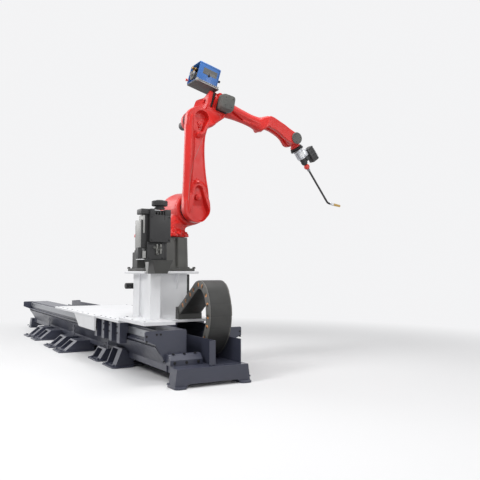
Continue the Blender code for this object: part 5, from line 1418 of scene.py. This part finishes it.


# Torch cleaner: knurled clamp knob, block with a recess and slot that hold painted shade, side rails, spray
# unit, sockets and tray, with painted light on the rails and the tray's face

cleanerSettings = {
    "knobAt": (0.797, -0.232),
    "knob": ((0.030, 1.2485), (0.040, 1.250), (0.040, 1.262), (0.032, 1.265), (0.032, 1.271),
             (0.055, 1.274), (0.058, 1.277), (0.058, 1.308), (0.055, 1.3125), (0.030, 1.314),
             (0.028, 1.3185)),
    "grips": (24, 0.0562),
    "grip": (0.0032, 1.276, 1.310, 0.002),   # half width, low and high Z, soft
    # low and high X, low and high Z, half width, soft
    "pins": (0.818, 0.852, 1.200, 1.232, 0.006, 0.003),
    "pinY": (-0.288, -0.266, -0.244, -0.222),
    # pieces made of boxes: finish, replaced nodes, low and high corners with their edge rounding
    "boxes": {
        "cleanerBlock": ("machineBlack", ("cleaner_body",), (
            ((0.712, -0.330, 1.002), (0.865, -0.168, 1.204), 0.005),
            ((0.712, -0.328, 1.200), (0.820, -0.168, 1.240), 0.004),
            ((0.815, -0.330, 1.200), (0.865, -0.296, 1.247), 0.004),
            ((0.815, -0.214, 1.200), (0.865, -0.168, 1.243), 0.004),
            ((0.720, -0.345, 0.8725), (0.846, -0.216, 1.004), 0.004),
            ((0.735, -0.216, 0.8725), (0.800, -0.170, 1.004), 0.004))),
        # dark sheets: painted shade in a recess of the block's face, at the back of the slot between its top
        # blocks and under the upper block's overhang, and a dark joint line where the blocks meet
        "cleanerRecessShade": ("recessBlack", (), (
            ((0.861, -0.222, 1.166), (0.8656, -0.213, 1.203), 0.002, 2),
            ((0.816, -0.296, 1.196), (0.822, -0.214, 1.238), 0.002, 2),
            ((0.861, -0.326, 1.1985), (0.8654, -0.172, 1.2015), 0.0008, 2),
            ((0.8455, -0.335, 0.985), (0.8475, -0.226, 1.001), 0.0008, 2))),
        # side rails and a block on the side unit's left; their pale grey is painted light for the lit left
        # faces of dark parts
        "cleanerLitRails": ("machinedPale", (), (
            ((0.742, -0.400, 0.9625), (0.835, -0.388, 1.163), 0.002),
            ((0.742, -0.372, 1.068), (0.835, -0.360, 1.200), 0.002),
            ((0.760, -0.372, 0.886), (0.835, -0.348, 0.938), 0.003))),
        "cleanerUnit": ("machineBlack", ("cleaner_side_unit",), (
            ((0.748, -0.388, 0.9605), (0.826, -0.330, 1.166), 0.003),
            ((0.745, -0.392, 1.206), (0.845, -0.300, 1.246), 0.006),
            ((0.765, -0.360, 1.160), (0.825, -0.318, 1.210), 0.004),
            ((0.752, -0.400, 0.880), (0.818, -0.372, 0.964), 0.005))),
        "cleanerTag": ("deckWhite", (), (((0.760, -0.398, 0.8745), (0.838, -0.362, 0.8795), 0.001, 2),)),
    },
    "reel": (((0.020, -0.398), (0.020, -0.350)), (0.790, 0, 0.905), alongY, 28),
    # two upright air fittings on the lower block, with a nut half way up
    "fitting": ((0.005, 0.918), (0.007, 0.922), (0.007, 0.940), (0.010, 0.942), (0.010, 0.954),
                (0.0065, 0.956), (0.0065, 0.984), (0.005, 0.988)),
    "fittingsAt": ((0.853, -0.270, 0), (0.853, -0.242, 0)),
    # four air and signal sockets on the lower block, with their glands
    "socket": ((0.009, 0), (0.009, 0.006), (0.0065, 0.007), (0.0065, 0.016), (0.0085, 0.017),
               (0.0085, 0.022), (0.004, 0.023)),
    "socketsAt": ((0.846, -0.292, 0.962), (0.846, -0.268, 0.948), (0.846, -0.246, 0.962),
                  (0.846, -0.268, 0.918)),
    # pale sheet on the tray's left face, painted light
    "trayOutline": ((0.790, 0.858), (0.858, 0.858), (0.840, 0.776), (0.812, 0.776)),
    "trayY": (-0.3345, -0.3375),
}


def addCleaner(settings):
    middleX, middleY = settings["knobAt"]
    half, low, high, soft = settings["grip"]
    knob = [turnedMesh(settings["knob"], (middleX, middleY, 0), alongZ, 72)]
    for x, y in ringOf(*settings["grips"], 0, settings["knobAt"]):
        knob.append(boxMesh((x - half, y - half, low), (x + half, y + half, high), soft, 2))
    addJoined("cleanerKnob", knob, None, "machineBlack", "carriage", replaces=("cleaner_clamp",))

    lowX, highX, low, high, half, soft = settings["pins"]
    more = {"cleanerBlock": [boxMesh((lowX, y - half, low), (highX, y + half, high), soft, 2)
                             for y in settings["pinY"]],
            "cleanerUnit": [turnedMesh(*settings["reel"])]}
    for name, (finish, replaces, boxes) in settings["boxes"].items():
        parts = [boxMesh(*box) for box in boxes] + more.get(name, [])
        addJoined(name, parts, None, finish, "carriage", replaces=replaces)

    fittings = [turnedMesh(settings["fitting"], place, alongZ, 20) for place in settings["fittingsAt"]]
    addJoined("cleanerFittings", fittings, None, "fittingGrey", "carriage")
    # pale sheet on the tray's left face: painted light for that lit face
    tray = slabMesh(settings["trayOutline"], "y", *settings["trayY"], 0.0008)
    addPiece("trayLitFace", tray, "machinedPale", "carriage")
    sockets = [turnedMesh(settings["socket"], place, alongX, 20) for place in settings["socketsAt"]]
    addJoined("cleanerSockets", sockets, None, "mouldedGrey", "carriage")


addCleaner(cleanerSettings)
print("torch cleaner made")


# Base: fluted walls under the turning joint, and their foot plate

baseSettings = {
    "half": 0.1885,
    "corner": 0.078,
    "wallZ": (0.812, 1.066),
    "fluteAt": 0.060,
    "fluteHalf": 0.010,
    "fluteDepth": 0.024,
    "taper": 0.008,
    "plateHalf": 0.226,
    "plateZ": (0.7905, 0.8130),
}


def addBaseWalls(settings):
    # rounded square carried upwards: at every height its outline dips into two upright flutes on each wall,
    # and the flutes run out where the wall meets the foot plate and the turning joint
    half, corner = settings["half"], settings["corner"]
    straight = half - corner
    t = np.linspace(-1, 1, 121)
    arc = np.linspace(0, np.pi / 2, 26)[1:-1]
    turned = np.column_stack([np.cos(arc), np.sin(arc)])
    side = np.vstack([np.column_stack([np.full(len(t), half), t * straight]), straight + corner * turned])
    normal = np.vstack([np.tile([1.0, 0.0], (len(t), 1)), turned])
    along = side[:, 1]
    dip = sum(np.exp(-((along - way * settings["fluteAt"]) / settings["fluteHalf"]) ** 2) for way in (-1, 1))
    dip[len(t):] = 0
    levels = np.linspace(0, 1, 40)
    fade = step(levels, 0, 0.10) * step(levels, 1, 0.93)
    inward = -settings["fluteDepth"] * dip[:, None] * fade[None] - settings["taper"] * levels[None]
    x, y = (side[:, k:k + 1] + normal[:, k:k + 1] * inward for k in (0, 1))
    z = np.broadcast_to(between(settings["wallZ"], levels)[None], x.shape)
    quarters = []
    for c, d in ((1, 0), (0, 1), (-1, 0), (0, -1)):
        quarters.append(np.stack([robotX + c * x - d * y, d * x + c * y, z], -1))
    walls = np.concatenate(quarters, axis=0)
    caps = [np.broadcast_to(np.array((robotX, 0, level)),
                            walls[:, :1].shape) for level in settings["wallZ"]]
    skin = outward(gridMesh(np.concatenate([caps[0], walls, caps[1]], axis=1), closeU=True))
    addPiece("baseWalls", skin, "mouldedGrey", "carriage", sharpAngle=50, replaces=("robot_base",))
    plate = ovalOutline(settings["plateHalf"], settings["plateHalf"], 96, (robotX, 0), 9.0)
    addPiece("basePlate", slabMesh(plate, "z", *settings["plateZ"], 0.003), "baseGrey", "carriage")


addBaseWalls(baseSettings)


# Module joints, riser gussets, and the screws of every part, each group a grid of places

jointSettings = {
    "moduleEnds": (-0.215, -1.360, -2.505),
    # half width in X, nearer and farther Y, low and high Z, soft
    "flange": (0.010, 0.2850, 0.2910, 0.115, 0.285, 0.002),
    "gussets": ((((0.4485, 0.7695), (0.4485, 0.650), (0.456, 0.650), (0.500, 0.7695)),
                 "y", 0.060, 0.072, 0.001),
                (((0.4485, 0.4055), (0.4485, 0.560), (0.455, 0.560), (0.4950, 0.4055)),
                 "y", -0.172, -0.160, 0.001)),
}
screwSettings = {
    # finish, body, place, radius, height, socket head, and grids: X, Y, Z and the way that the heads face
    "shieldScrews": ("recessBlack", "rail", None, 0.0075, 0.005, True, (
        ((0.942,), (-0.376, 0.376), (0.300, 0.335), alongX),
        ((0.942,), (-0.300, -0.270, 0.286), (0.345,), alongX),
        ((0.942,), (-0.245, 0.280), (0.155,), alongX))),
    "stopBolts": ("recessBlack", "rail", None, 0.009, 0.007, False, (
        ((0.983,), (-0.190, -0.105, -0.020), (0.205,), alongZ),
        ((1.023,), (-0.195, -0.104, -0.012), (0.150,), alongX))),
    "endFootBolts": ("railBlueGrey", "rail", None, 0.010, 0.010, False, (
        ((1.12, -3.84), (-0.285, 0.352), (0.030,), alongZ),)),
    "guideScrews": ("boltSteel", "rail", None, 0.0065, 0.0012, True, (
        (np.arange(-3.58, 0.90, 0.12), (-0.297,), (0.330,), backY),
        (np.arange(-3.58, 0.90, 0.12), (0.297,), (0.330,), alongY))),
    "moduleBolts": ("railBlueGrey", "rail", None, 0.009, 0.007, False, tuple(
        ((end - 0.030, end + 0.030), (way[1] * 0.2855,), (0.150, 0.200, 0.250), way)
        for end in jointSettings["moduleEnds"] for way in (backY, alongY))),
    "footAnchors": ("railBlueGrey", "rail", None, 0.011, 0.012, False, (
        ((-0.52, -0.34, -0.09, 0.09), (-0.335, 0.335), (0.012,), alongZ),
        ((-2.81, -2.63, -2.38, -2.20, -1.665, -1.485, -1.235, -1.055), (-0.488, 0.488), (0.012,), alongZ))),
    "cleanerScrews": ("recessBlack", "carriage", None, 0.0050, 0.004, True, (
        ((0.865,), (-0.318, -0.182), (1.018, 1.185), alongX),
        ((0.846,), (-0.333, -0.228), (0.886, 0.992), alongX))),
    "baseBolts": ("baseGrey", "carriage", None, 0.013, 0.013, False, (
        ((robotX - 0.208, robotX + 0.208), (-0.205, -0.06, 0.06, 0.205), (0.812,), alongZ),
        ((robotX - 0.09, robotX + 0.09), (-0.208, 0.208), (0.812,), alongZ))),
    "deckScrews": ("boltSteel", "carriage", None, 0.0075, 0.003, True, (
        (np.linspace(-0.20, 0.32, 5), (-0.355, 0.350), (0.405,), alongZ),
        ((0.42, 0.60, 0.86), (-0.360,), (0.430,), alongZ),
        (np.linspace(-1.66, -0.32, 8), (-0.380, 0.380), (0.405,), alongZ))),
    "riserBolts": ("boltSteel", "carriage", None, 0.010, 0.009, False, (
        ((robotX - 0.20, robotX), (-0.215, 0.215), (0.405,), alongZ),)),
    "saddleScrews": ("recessBlack", "carriage", None, 0.0075, 0.005, True, (
        ((-0.27, -0.07, 0.08, 0.28), (-0.370,), (0.30, 0.35), backY),
        ((-0.27, -0.07, 0.08, 0.28), (0.370,), (0.30, 0.35), alongY))),
    "torchDriveScrews": ("boltSteel", "tool", "tool", 0.0036, 0.003, True, (
        ((0.0375,), (0.171, 0.295), (0.090, 0.150), alongX),)),
}


def addJoints(settings):
    halfX, near, far, low, high, soft = settings["flange"]
    flanges = [boxMesh((x - halfX, start, low), (x + halfX, end, high), soft, 2)
               for x in settings["moduleEnds"] for start, end in ((-far, -near), (near, far))]
    addJoined("moduleFlanges", flanges, None, "railBlueGrey", "rail")
    # riser: a small gusset under its top plate, and a rib on its foot
    gussets = [slabMesh(*row) for row in settings["gussets"]]
    addJoined("riserGussets", gussets, None, "deckWhite", "carriage")


addJoints(jointSettings)
for name, (finish, body, place, radius, height, socket, grids) in screwSettings.items():
    spots = [((x, y, z), way) for xs, ys, zs, way in grids for x in xs for y in ys for z in zs]
    addScrews(name, spots, finish, body, places.get(place), radius, height, socket)
print("screws and joints made")
